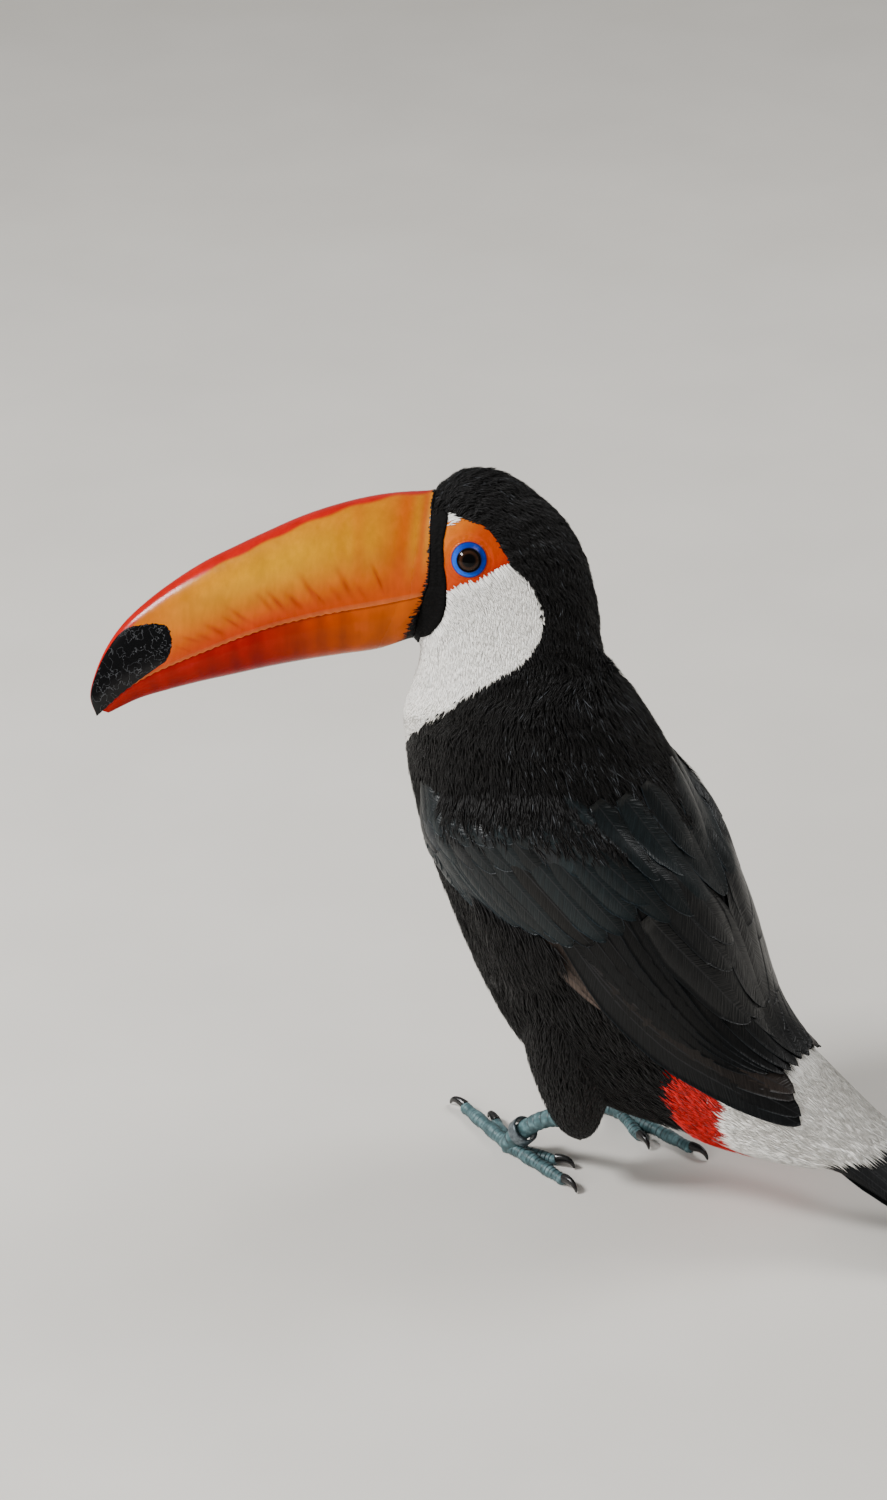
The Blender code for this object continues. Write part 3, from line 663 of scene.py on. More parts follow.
def scute_material():
    """Scaled skin of leg and toes: overlapping horny plates. The eye sees chalky blue-grey plates with dark
    grooves between them and a dull sheen."""
    made, tree, where = start_material("Scaled foot skin")
    chalk = add(tree, "clouds", where, 300.0, 4.0)
    tone = add(tree, "ramp", chalk, stops=[(0.3, "#2C4446"), (0.5, "#3F5C60"), (0.72, "#68868A")])
    # Grime darkens the toes in soft patches.
    grime = add(tree, "remap", add(tree, "clouds", where, 120.0), 0.45, 0.7, 0.0, 0.6)
    tone = add(tree, "blend", grime, tone, "#283A3E")
    tone = add(tree, "blend", add(tree, "number", attribute_name="groove"), tone, "#10191D")
    cells = add(tree, "cells", where, 900.0, feature="DISTANCE_TO_EDGE")
    finish_material(tree, tone, 0.48, 1.5, (cells, 0.35, 0.0003))
    return made


def grained_material(name, scale, low, high, rough, strength, depth, ior=1.54, more=()):
    """A hard surface whose tone and bump follow one noise from its low colour to its high one."""
    made, tree, where = start_material(name)
    grain = add(tree, "clouds", where, scale)
    tone = add(tree, "ramp", grain, stops=[(0.3, low), (0.78, high)])
    finish_material(tree, tone, rough, ior, (grain, strength, depth), more)
    return made


def claw_material():
    """Claw horn: dense black keratin with a worn polish, so it glints over a faint grain."""
    return grained_material("Polished claw horn", 500.0, "#070708", "#232221", 0.26, 0.2, 0.0003)


def ring_material():
    """The leg band: a plain strip of anodised aluminium, whose wear dulls it and breaks its highlight."""
    return grained_material("Dulled aluminium band", 600.0, "#3E464B", "#808A90", 0.42, 0.2, 0.0002,
                            more={"Metallic": 0.7})


def floor_material():
    """A painted studio floor: matt, with a faint roller texture."""
    return grained_material("Matt painted floor", 9.0, "#D6D2CB", "#DDD9D2", 0.8, 0.1, 0.0005, 1.5)


def skin_material(name):
    """The skin under the feathers, in the colour of what grows on it: dull and finely pitted."""
    made, tree, where = start_material(name)
    down = add(tree, "clouds", where, 700.0)
    tone = add(tree, "shade", add(tree, "colour", attribute_name="Coat"), add(tree, "remap", down, 0.3, 0.7, 0.9, 1.05))
    finish_material(tree, tone, 0.75, 1.45, (down, 0.6, 0.0008), {"Specular IOR Level": 0.2})
    return made


# ---------------------------------------------------------------- feathers


def noise(t, around, scale, seed=0):
    """A soft wave over the body between -1 and 1, so that neighbouring feathers lie alike."""
    rng = np.random.default_rng(SEED + seed)
    total = 0.0
    for _ in range(5):
        k, m, phase = rng.uniform(0.6, 1.6) * scale, rng.integers(1, 4) * scale, rng.uniform(0, tau)
        total = total + np.sin(k * np.asarray(t) * 2 + np.round(m) * np.asarray(around) + phase)
    return total / 3.2


def steps_on(surface, p, q, step=(1e-2, 1e-2)):
    """How the surface runs at (p, q): its two slopes, its outward direction, and unit steps along p and across it."""
    dp, dq = step
    along = (surface(p + dp, q) - surface(p - dp, q)) / (2 * dp)
    across = (surface(p, q + dq) - surface(p, q - dq)) / (2 * dq)
    out = unit(surface(p, q, 1.0) - surface(p, q, 0.0))
    ahead = unit(along)
    aside = unit(across - ahead * dot(across, ahead)[..., None])
    return along, across, out, ahead, aside


def dot(a, b):
    return np.einsum("...i,...i->...", a, b)


def metric_solve(along, across, wanted):
    """The step in (p, q) whose movement on the surface is closest to the wanted one."""
    e, f, g = dot(along, along), dot(along, across), dot(across, across)
    u, v = dot(along, wanted), dot(across, wanted)
    d = np.maximum(e * g - f * f, 1e-9)
    return (g * u - f * v) / d, (e * v - f * u) / d


def atlas(t, around):
    """The body unrolled: round the body across the map, and bill to tail up it."""
    turn = np.mod(np.asarray(around) / tau + 0.5, 1.0)
    return np.stack([0.02 + 0.60 * turn, 0.02 + 0.95 * np.asarray(t) / LAST_FEATHER], axis=-1)


# One tuft: three points across at each of three rows, and a tip.
TUFT_ROWS = np.array([0.0, 0.38, 0.74])
TUFT_WIDTH = np.array([0.55, 1.0, 0.72])
TUFT_QUADS = np.array([
    (0, 1, 4, 3), (1, 2, 5, 4), (2, 0, 3, 5), (3, 4, 7, 6), (4, 5, 8, 7), (5, 3, 6, 8),
])
TUFT_TRIS = np.array([(6, 7, 9), (7, 8, 9), (8, 6, 9), (0, 2, 1)])
TUFT_POINTS = 10
TUFT_ON_MAP = np.array([(c / 2, r) for r in TUFT_ROWS for c in (0, 1, 2)] + [(0.5, 1.0)])
# TUFT_PAINTED_SHADE places each point between a tuft's darkened root (0) and its tip (1): painted shade.
TUFT_PAINTED_SHADE = np.repeat([0.0, 0.65, 0.95, 1.0], [3, 3, 3, 1])


def tuft_mesh(surface, t, around, length, width, swing, sink, rise, home, colour, dark=0.62, keel=0.3):
    """Tufts of barbs: each is a thin keeled blade that starts under the coat, follows the body along its lie and
    ends in a point. Point = surface(root + lie * length * s) at a height that goes from -sink to rise. Returns
    points, quads, triangles, the map and the colours."""
    along, across, _, ahead, aside = steps_on(surface, t, around)
    lie = ahead * np.cos(swing)[:, None] + aside * np.sin(swing)[:, None]
    dt, da = metric_solve(along, across, lie)
    s = np.array([*TUFT_ROWS, 1.0])[None, :]
    path_t = t[:, None] + dt[:, None] * length[:, None] * s
    path_a = around[:, None] + da[:, None] * length[:, None] * s
    height = -sink[:, None] * (1 - s) ** 1.6 + rise[:, None] * s**1.3
    middle = surface(path_t, path_a, height)
    out = unit(surface(path_t, path_a, height + 1) - middle)
    side = unit(np.cross(unit(np.gradient(middle, axis=1)), out))
    half = (width[:, None] * TUFT_WIDTH)[..., None] / 2
    rows, edge, ridge = middle[:, :3], side[:, :3] * half, out[:, :3] * half * keel
    blades = np.stack([rows - edge, rows + ridge, rows + edge], axis=2).reshape(len(t), 9, 3)
    points = np.concatenate([blades, middle[:, 3:]], axis=1)
    start = (np.arange(len(t)) * TUFT_POINTS)[:, None, None]
    bake = home[:, None, :] + (TUFT_ON_MAP - 0.5) * OFBAKE_PATCH
    # Painted shade: each tuft is painted darker towards its root, where it lies under the others, by the share dark,
    # and a little lighter at its tip.
    shade = dark + (1.08 - dark) * TUFT_PAINTED_SHADE[None, :, None]
    paint = np.clip(colour[:, None, :] * shade, 0, 1)
    return (points.reshape(-1, 3), (TUFT_QUADS + start).reshape(-1, 4), (TUFT_TRIS + start).reshape(-1, 3),
            bake.reshape(-1, 2), paint.reshape(-1, 3))


def golden(count):
    """Evenly spread places in the unit square: a two-dimensional golden-ratio sequence."""
    return ((0.5 + np.arange(count) * step) % 1 for step in (0.7548776662466927, 0.5698402909980532))


def scatter(t_range, density, seed):
    """Evenly spread roots, thinned so that each square millimetre of the body gets as many as the next."""
    t0, t1 = t_range
    rng = np.random.default_rng(SEED + seed)

    def area(t, a):
        along, across, *_ = steps_on(on_body, t, a)
        return np.linalg.norm(np.cross(along, across), axis=-1)

    most = area(*every(np.linspace(t0, t1, 60), np.linspace(-pi, pi, 90))).max()
    count = int(density * most * (t1 - t0) * tau)
    x, y = golden(count)
    t, a = t0 + (t1 - t0) * x, -pi + tau * y
    keep = rng.uniform(size=count) < area(t, a) / most
    return t[keep], a[keep], rng


def tuft_piece(name, t, around, surface, size, colour, material, slot, rng, sink, rise, lie=0.0, messy=0.16,
               rough=0.1, sway=1.0, **rest):
    """A coat piece: tufts at the given roots with natural spread in size, lie and tone."""
    count = len(t)
    length, width = size
    wave = 0.22 * noise(t, around, 3, 5) + 0.12 * noise(t, around, 9, 6)
    swing = lie + sway * wave + rng.normal(0, messy, count)
    *mesh, bake, paint = tuft_mesh(
        surface, t, around, length * rng.uniform(0.75, 1.2, count), width * rng.uniform(0.7, 1.25, count), swing,
        sink * rng.uniform(0.8, 1.1, count), rise + rough * (noise(t, around, 6, 7) * 2 + rng.normal(0, 1, count)),
        atlas(t, around), colour, **rest,
    )
    put_mesh(name, *mesh, material, slot, uvs={"OFBake": bake}, fields={"Coat": paint})


def vane_faces(rows, columns):
    """A thin closed plate of rows by columns: its upper side, its lower side and the wall between them."""
    index = np.arange(rows * columns).reshape(rows, columns)
    ring = np.concatenate([index[:, 0], index[-1, 1:], index[-2::-1, -1], index[0, -2:0:-1]])
    ahead, under = np.roll(ring, -1), rows * columns
    wall = np.stack([ahead, ring, ring + under, ahead + under], axis=-1)
    return np.concatenate([grid_faces(rows, columns), grid_faces(rows, columns, start=under)[:, ::-1], wall])


def vanes(surface, root, tip, width, layer, side=1, blunt=3.5, outer=0.5, camber=0.5, roll=0.3, rows=14, columns=7,
          thick=0.3, step=(1e-2, 1e-2), ragged=0.0, rng=None):
    """Whole feathers: shaft from root to tip on the surface, half-widths w(s) = width * (soft start) *
    (1 - s^blunt)^0.55 on both sides, raised by camber over the shaft and rolled so that the outer edge lies over
    the next feather. Returns points, faces, the maps along the barbs, and the rows' and columns' places."""
    count = len(root)
    width, blunt, outer, roll = (
        np.broadcast_to(np.asarray(x, float), (count,))[:, None] for x in (width, blunt, outer, roll)
    )
    layer = np.broadcast_to(np.asarray(layer, float), (count, 2))
    s = (1 - (1 - np.linspace(0, 1, rows)) ** 1.5)[None, :]
    v = np.linspace(-1, 1, columns)[None, None, :]
    path = root[:, None] + (tip - root)[:, None] * s[..., None]
    p, q = path[..., 0], path[..., 1] * side
    along, across, out, _, _ = steps_on(surface, p, q, step)
    middle = surface(p, q)
    run = unit(np.gradient(middle, axis=1))
    aside = side * unit(np.cross(run, out))
    hops = np.linalg.norm(np.diff(middle, axis=1), axis=-1)
    far = np.concatenate([np.zeros((count, 1)), np.cumsum(hops, axis=1)], axis=1)
    soft = np.clip(0.3 + 2.6 * s, 0, 1) ** 0.7
    w = width * soft * np.clip(1 - s**blunt, 0.0, 1) ** 0.55 + 0.25
    x = v * w[..., None] * np.where(v > 0, outer[..., None], 1 - outer[..., None])
    if ragged:
        notch = rng.uniform(-1, 1, (count, rows, columns)) * ragged
        x = x * (1 + notch * (np.abs(v) > 0.7))
    back = -0.25 * np.abs(x) * (s[..., None] > 0.8)
    moved = []
    for here, aside_step, run_step in zip((p, q), metric_solve(along, across, aside), metric_solve(along, across, run)):
        moved.append(here[..., None] + aside_step[..., None] * x + run_step[..., None] * back)
    height = (layer[:, :1] + (layer[:, 1:] - layer[:, :1]) * s)[..., None]
    height = height + camber * (1 - v**2) * np.minimum(1, 3 * (1 - s[..., None])) + roll[..., None] * v
    plate = [surface(*moved, height - under) for under in (0.0, thick * (1 - 0.6 * np.abs(v)))]
    points = np.stack(plate, axis=1).reshape(count, -1, 3)
    faces = (vane_faces(rows, columns) + (np.arange(count) * points.shape[1])[:, None, None]).reshape(-1, 4)
    maps = {
        "Vane": np.stack(np.broadcast_arrays((v + 1) / 2, s[..., None], x)[:2], axis=-1),
        "Barb": np.stack([(far[..., None] - 0.9 * np.abs(x)) / 10, x / 10], axis=-1),
    }
    maps = {key: np.stack([value, value], axis=1).reshape(-1, 2) for key, value in maps.items()}
    return points, faces, maps, (s[0], v[0, 0])


def vane_piece(name, made, home, colour, material, slot, replaces=(), side=1):
    """A piece of whole feathers from vanes(), with a colour and painted shade for each and its place on the bake map.
    """
    points, faces, maps, (s, v) = made
    grid = np.stack(every(s, v), axis=-1)[..., ::-1]
    local = np.concatenate([grid.reshape(-1, 2)] * 2) * [0.5, 1.0] - [0.0, 0.5]
    maps = {"OFBake": (home[:, None] + local * OFBAKE_PATCH).reshape(-1, 2), **maps}
    # Painted shade: darker at the root and on the edge that lies under the next feather.
    shade = np.interp(s, [0, 0.25, 0.8, 1.0], [0.5, 0.85, 1.05, 1.0])[:, None]
    shade = shade * (0.6 + 0.5 * smooth_step((v + 1) / 1.3))
    shade = np.concatenate([shade.ravel()] * 2)
    paint = np.clip(colour[:, None, :] * shade[None, :, None], 0, 1).reshape(-1, 3)
    put_mesh(name, points, faces, (), material, slot, replaces, maps, {"Coat": paint}, flip=side > 0)


# ---------------------------------------------------------------- settings


def colour_setting(name, code, description):
    return FloatVectorProperty(
        name=name, description=description, subtype="COLOR", size=3, min=0, max=1, default=linear(code)[:3]
    )


def number_setting(name, default, least, most, description, unit="NONE"):
    return FloatProperty(name=name, description=description, default=default, min=least, max=most, unit=unit)


class ToucanPlumage(bpy.types.PropertyGroup):
    coat_depth: number_setting(
        "Coat depth", 2.6, 0.5, 6, "How far the skin lies under the feathers' surface on the trunk (mm)"
    )
    density: number_setting("Density", 1.0, 0.1, 1.3, "Tufts on the body compared with the usual number")
    black: colour_setting("Black", "#070606", "Colour of the head, trunk and thighs")
    # Glint is a painted highlight: the pale grey painted on some tufts where barbs would catch the light.
    glint: colour_setting("Glint", "#5A5D62", "Colour of the pale barbs that catch the light on the mantle")
    white: colour_setting("White", "#F4F1EB", "Colour of the bib and rump")
    red: colour_setting("Red", "#CC0403", "Colour of the feathers under the tail")
    slate: colour_setting("Slate", "#0C1315", "Colour of the wing coverts")
    flight: colour_setting("Flight feathers", "#070809", "Colour of the long wing feathers")
    brown: colour_setting("Worn brown", "#3C322C", "Colour of the outer primaries")


class ToucanFace(bpy.types.PropertyGroup):
    orange: colour_setting("Orange", "#AA3800", "Colour of the bare skin round the eye")
    ring: colour_setting("Eye ring", "#04278C", "Colour of the ring round the eye")
    lid_opening: number_setting("Lid opening", 5.1, 3, 7, "Half the height of the opening between the lids (mm)")
    ring_radius: number_setting("Ring radius", 7.6, 6, 10, "Outer radius of the blue ring (mm)")


class ToucanBill(bpy.types.PropertyGroup):
    gold: colour_setting("Gold", "#AE6600", "Colour of the upper bill's middle")
    orange: colour_setting("Orange", "#A83E00", "Colour near the cutting edge")
    red: colour_setting("Red", "#A60600", "Colour of the stripe along the ridge")
    deep_red: colour_setting("Deep red", "#8A0700", "Colour of the lower bill's point")
    lower_base: colour_setting("Lower base", "#AC4A00", "Colour of the lower bill at its base")


class ToucanFeet(bpy.types.PropertyGroup):
    scute: number_setting("Scute length", 2.6, 1, 6, "Length of one plate along a toe (mm)")
    plate_rise: number_setting("Plate rise", 0.22, 0, 1, "How far a plate's end stands up (mm)")


class ToucanStage(bpy.types.PropertyGroup):
    key_power: number_setting("Key light", 52.0, 0, 500, "Power of the main light", "POWER")
    fill_power: number_setting("Fill light", 30.0, 0, 500, "Power of the fill light", "POWER")
    back_power: number_setting("Back light", 18.0, 0, 500, "Power of the light from behind", "POWER")
    surround: number_setting("Surround", 0.34, 0, 5, "Brightness of the studio walls")


# ---------------------------------------------------------------- operators

# The legs, as in the solids.
LEGS = {
    "left": {
        "thigh": (29.0, 1.5), "heel": (28.5, 16.5, 29.5), "foot": (22.2, -18.8),
        "toes": {"3": (-0.3, -54.3), "2": (5.2, -34.8), "4": (37.7, 17.2), "1": (23.2, 6.7)},
        "claws": {"3": (-2.4, -62.3), "2": (0.7, -40.8), "4": (41.7, 24.7), "1": (23.2, 14.7)},
    },
    "right": {
        "thigh": (-28.0, 8.0), "heel": (-27.0, 49.0, 29.5), "foot": (-29.0, 14.0),
        "toes": {"3": (-41.0, -25.0), "2": (-29.0, -9.0), "4": (-14.5, 58.0), "1": (-12.5, 32.0)},
        "claws": {"3": (-43.5, -33.0), "2": (-28.0, -17.0), "4": (-11.5, 66.5), "1": (-7.5, 38.5)},
    },
}
# Each toe's radius at its root and its end, a tenth less than its solid's, and its number of pads. Then the bare
# leg's radii, and heights and sizes in mm.
TOES = {"3": (3.51, 2.70, 3.0), "4": (3.42, 2.61, 3.0), "2": (3.24, 2.52, 2.0), "1": (2.97, 2.34, 1.5)}
LEG_RADII = [0.0, 0.2, 0.42, 0.62, 0.78, 0.9, 0.98, 1.05, 1.1], [4.5, 4.3, 4.1, 4.0, 4.1, 4.4, 4.5, 3.9, 2.2]
PAD_HEIGHT, TOE_START, CLAW_RADIUS = 4.4, 3.6, 1.9  # the leg's foot end, the gap before the toes, and the claws
RING_AT = 0.80  # how far down the leg the band lies
RING_RADIUS, RING_HALF_THICK, RING_HALF_WIDTH = 6.05, 0.65, 2.7
THIGH = np.array([
    (13, 94, 21, 17), (13.5, 79, 23, 18.5), (14.5, 65, 22, 18.5), (15.5, 53, 19, 17), (16, 43, 15.5, 14.5),
    (16.5, 35, 12.5, 12), (17.5, 29, 9.5, 9), (18.5, 25.0, 6.0, 6.0),
])


def thigh_surface(leg):
    """The feathered thigh as a surface: p counts its stations downwards, q goes round from the outer side."""
    x, y = LEGS[leg]["thigh"]

    def surface(p, q, lift=0.0):
        p, q = np.broadcast_arrays(np.asarray(p, float), np.asarray(q, float))

        def bare(p, q):
            dy, z, deep, wide = np.moveaxis(curve_through(THIGH, p), -1, 0)
            z = z - np.clip(p - 7, 0, None) * 3
            shrink = 1 - np.clip(p - 7, 0, 1) * 0.9
            return np.stack([x + wide * np.cos(q) * shrink, y + dy + deep * np.sin(q) * shrink, z], axis=-1)

        at = bare(p, q)
        out = unit(np.cross(bare(p, q + 0.01) - bare(p, q - 0.01), bare(p - 0.01, q) - bare(p + 0.01, q)))
        return at + out * np.asarray(lift, float)[..., None]

    return surface


def coat_depth_at(t):
    """How deep the skin lies under the feathers' surface: thin on the head, full on the trunk."""
    share = np.array([0.22, 0.25, 0.35, 0.6, 0.9, 1.0, 0.8, 0.5])
    return np.interp(t, [0, 1, 3, 6, 8, 12, 16, LAST_FEATHER], share * bpy.context.scene.toucan_plumage.coat_depth)


def coat_colour(kind):
    """The named colour of each kind of marking."""
    plumage, face = bpy.context.scene.toucan_plumage, bpy.context.scene.toucan_face
    return np.array([plumage.black, plumage.white, plumage.red, face.orange])[kind]


class ToucanMakeSkin(bpy.types.Operator):
    """Makes the one skin that lies under the feathers of head, neck, trunk, rump and thighs"""

    bl_idname = "toucan.make_skin"
    bl_label = "Skin"

    def execute(self, context):
        t = np.concatenate([np.linspace(0.02, 5, 110), np.linspace(5.05, 16.4, 120)])
        tt, aa = every(t, all_round(150))
        parts = [closed_tube(on_body(tt, aa, -coat_depth_at(tt)))]
        # Painted shade: the skin is painted a little darker than the feathers that grow on it, for the gaps between the
        # tufts.
        paint = [with_ends(coat_colour(marking(tt, aa))) * 0.95]
        p, q = every(np.linspace(0, 7.2, 30), all_round(36))
        for leg in LEGS:
            parts.append(closed_tube(thigh_surface(leg)(p, q, -0.8 * context.scene.toucan_plumage.coat_depth)))
            paint.append(coat_colour(np.full(len(parts[-1][0]), BLACK)))
        put_mesh("skin", *join(parts), skin_material("Skin under the plumage"), "plumage_black",
                 ("head", "neck", "trunk", "rump", "thigh_left", "thigh_right"), fields={"Coat": np.concatenate(paint)})
        return {"FINISHED"}


GUESSES = 14


def on_head_side(forward, up):
    """Where the head's left side has the point (forward, up), as (t, around), by a few corrected guesses."""
    t = np.interp(-forward, [-20, -12.5, 4, 14, 22], [0.0, 1.0, 2.2, 3.2, 3.8])
    a = np.full(t.shape, radians(88))
    step = 0.02
    for _ in range(GUESSES):
        f, p, _ = seen_from_head(on_body(t, a))
        f_t, p_t, _ = seen_from_head(on_body(t + step, a))
        f_a, p_a, _ = seen_from_head(on_body(t, a + step))
        j11, j12, j21, j22 = (f_t - f) / step, (f_a - f) / step, (p_t - p) / step, (p_a - p) / step
        det = j11 * j22 - j12 * j21
        det = np.where(np.abs(det) < 1e-3, 1e-3, det)
        ef, ep = forward - f, up - p
        t = np.clip(t + np.clip((j22 * ef - j12 * ep) / det, -0.5, 0.5), 0.0, 6.0)
        a = np.clip(a + np.clip((-j21 * ef + j11 * ep) / det, -0.3, 0.3), radians(10), radians(170))
    return t, a


def face_colour(f, p, r, face):
    """Orange that yellows in front and reddens behind, round a blue ring with a dark rim and black lids. The ring is
    painted lighter in front and below: a painted reflection.
    """
    ring, lid = face.ring_radius, face.lid_opening
    skin = mixed(np.array(face.orange), rgb("#C46C06"), smooth_step((f + 0.9 * p - 4) / 22) * 0.8)
    skin = mixed(skin, rgb("#A01A00"), smooth_step((-f * 0.7 - p + 2) / 16) * 0.95)
    # Painted reflection: the blue ring is painted lighter towards its front and lower side.
    blue = mixed(np.array(face.ring), rgb("#0C52C0"), smooth_step((f - 0.6 * p + 5) / 12) * 0.9)
    colour = np.where(r[..., None] < ring + 0.35, rgb("#0A1A4A"), skin)
    colour = mixed(colour, skin, smooth_step((r - ring - 0.1) / 0.5))
    colour = np.where(r[..., None] < ring - 0.1, blue, colour)
    return mixed(colour, rgb("#06060A"), 1 - smooth_step((r - lid - 0.25) / 0.5))


class ToucanMakeFace(bpy.types.Operator):
    """Makes the bare orange skin with the blue ring round each eye"""

    bl_idname = "toucan.make_face"
    bl_label = "Bare face"

    def execute(self, context):
        face = context.scene.toucan_face
        paint = face_material()
        ring, lid = face.ring_radius, face.lid_opening
        # How far the bare skin reaches from the eye in each direction.
        turn = all_round(128)
        outline = np.array(FACE_OUTLINE) - [EYE_AHEAD, EYE_UP]
        angle = np.mod(np.arctan2(outline[:, 1], outline[:, 0]), tau)
        order = np.argsort(angle)
        reach = np.interp(turn, angle[order], np.hypot(*outline.T)[order], period=tau) + 1.2
        # Rows from inside the lids to the ring's edge, and on to the feathers.
        inner, outer = np.linspace(0, 1, 26)[:, None], np.linspace(0, 1, 40)[1:, None]
        start, edge = lid * (1 + 0.05 * np.cos(2 * turn)) - 0.5, ring + 0.7
        r = np.concatenate([start + (edge - start) * inner, edge + (reach - edge) * outer])
        f, p = EYE_AHEAD + r * np.cos(turn), EYE_UP + r * np.sin(turn)
        t, a = on_head_side(f, p)
        ball = EYE_OUT + np.sqrt(np.clip(EYE_RADIUS**2 - r**2, 0, None))
        folds = (
            0.10 * np.sin((r - ring) * 2.1 + 0.5 * np.sin(3 * turn)) * bell(r, ring + 2.4, 2.2)
            + 0.05 * np.sin(turn * 24 + 1.2 * np.sin(r)) * bell(r, ring + 1.5, 2.0)
            - 0.16 * bell(r, ring + 0.9, 0.5)
        )
        lid_rise = np.interp(r, [lid - 0.5, lid, lid + 0.35], [-0.7, 0.15, 0.5])
        ring_rise = np.interp(r, [lid + 0.35, lid + 0.9, ring - 0.8, ring, edge], [0.5, 0.62, 0.9, 0.55, 0.0])
        for name, side in SIDES.items():
            base = on_body(t, a * side, -0.35)
            from_ball = ball - np.abs(seen_from_head(base)[2])
            cone = np.maximum(from_ball * (1 - smooth_step((r - lid) / (ring - lid + 0.4))), 0)
            height = np.where(r < lid + 0.35, from_ball + lid_rise, cone + ring_rise * (r < edge)) + folds
            points = base + HEAD_LEFT * side * height[..., None]
            put_mesh(f"face_skin_{name}", points, grid_faces(*r.shape, closed=True), (), paint, "bill_orange",
                     fields={"Skin": face_colour(f, p, r, face).reshape(-1, 3)}, flip=side > 0)
        return {"FINISHED"}


class ToucanMakeEyes(bpy.types.Operator):
    """Makes the two eyeballs"""

    bl_idname = "toucan.make_eyes"
    bl_label = "Eyes"

    def execute(self, context):
        paint = eye_material()
        polar = np.linspace(0.02, pi - 0.02, 48)[:, None]
        turn = all_round(64)[None, :]
        sphere = np.broadcast_arrays(np.cos(polar), np.sin(polar) * np.cos(turn), np.sin(polar) * np.sin(turn))
        # The cornea stands out from the ball by a low dome over the iris.
        r = EYE_RADIUS - 0.15 + 0.45 * np.clip(1 - (polar / 0.62) ** 2, 0, 1)
        # Behind the lids it is drawn in, so that it stays under the ring.
        r = r * (1 - 0.12 * smooth_step((polar - 0.72) / 0.15))
        from_pupil = with_ends(EYE_RADIUS * np.sin(np.minimum(polar, pi / 2)) + 0 * turn, [0, EYE_RADIUS])
        around = with_ends(np.minimum(turn, tau - turn) * 4 + 0 * polar, [0, 0])
        for name, side in SIDES.items():
            rings = in_head(EYE_AHEAD, EYE_UP, side * EYE_OUT)
            for part, way in zip(sphere, (HEAD_LEFT * side, HEAD_FORWARD, HEAD_UP)):
                rings = rings + (r * part)[..., None] * way
            put_tube(f"eyeball_{name}", rings, paint, "eye", replaces=(f"eye_{name}",),
                     fields={"from_pupil": from_pupil, "turn": around})
        return {"FINISHED"}


# The bill: upper ridge, line of the mouth and lower edge, as (forward, up) of the middle of the head.
BILL_RIDGE = [
    (16.4, 30.5), (29.0, 30.2), (44.0, 28.1), (59.4, 24.3), (74.5, 19.2), (89.5, 12.6), (104.0, 5.8), (118.0, -1.2),
    (131.5, -9.8), (143.5, -18.9), (153.6, -28.4), (161.2, -39.0), (166.4, -50.5), (169.0, -61.5), (166.2, -70.6),
]
BILL_MOUTH = [
    (22.4, -14.2), (39.3, -17.8), (55.0, -20.6), (70.5, -23.8), (86.0, -27.8), (100.5, -32.8),
    (114.7, -38.6), (128.5, -44.5), (141.5, -50.7), (153.0, -58.0), (163.6, -67.8),
]
BILL_KEEL = [
    (25.6, -34.8), (40.7, -39.9), (56.0, -42.2), (72.0, -44.7), (88.5, -47.8), (104.3, -51.3), (120.0, -54.8),
    (134.5, -58.6), (147.5, -62.6), (160.8, -69.0),
]
BILL_HALF_WIDTH = [20.5, 19.3, 18.5, 17.6, 16.4, 14.8, 12.8, 10.4, 7.4, 4.2, 0.9]
BILL_LENGTH = 178.0
FLAMES = 16
# How far the rim tucks under what lies before and behind it and its least length, in sections, and how far its
# underside lies in the head, in mm.
RIM_TUCK, RIM_LEAST, RIM_UNDERSIDE = 0.03, 0.06, -1.2
# Where the black tip begins, as a share of the bill's length for each height from mouth (0) to ridge (1).
TIP_HEIGHTS = [0.0, 0.03, 0.055, 0.098, 0.214, 0.317, 0.471, 0.581, 0.679, 0.803, 0.899, 0.945, 0.97, 1.0]
TIP_STARTS = [0.886, 0.85, 0.81, 0.753, 0.721, 0.703, 0.689, 0.689, 0.706, 0.738, 0.763, 0.79, 0.90, 1.05]
# How far down each side the red stripe on the ridge reaches in mm, at even steps from base to tip.
STRIPE = [0.4, 1.4, 2.6, 3.6, 4.2, 4.4, 4.4, 4.0, 3.4, 2.6, 1.4]


def border_t(outline):
    """An outline on the side of the head as a function that gives t for each degree round."""
    t, a = np.array(spots(outline)).T
    order = np.argsort(a)
    return lambda degrees: np.interp(degrees, a[order], t[order])


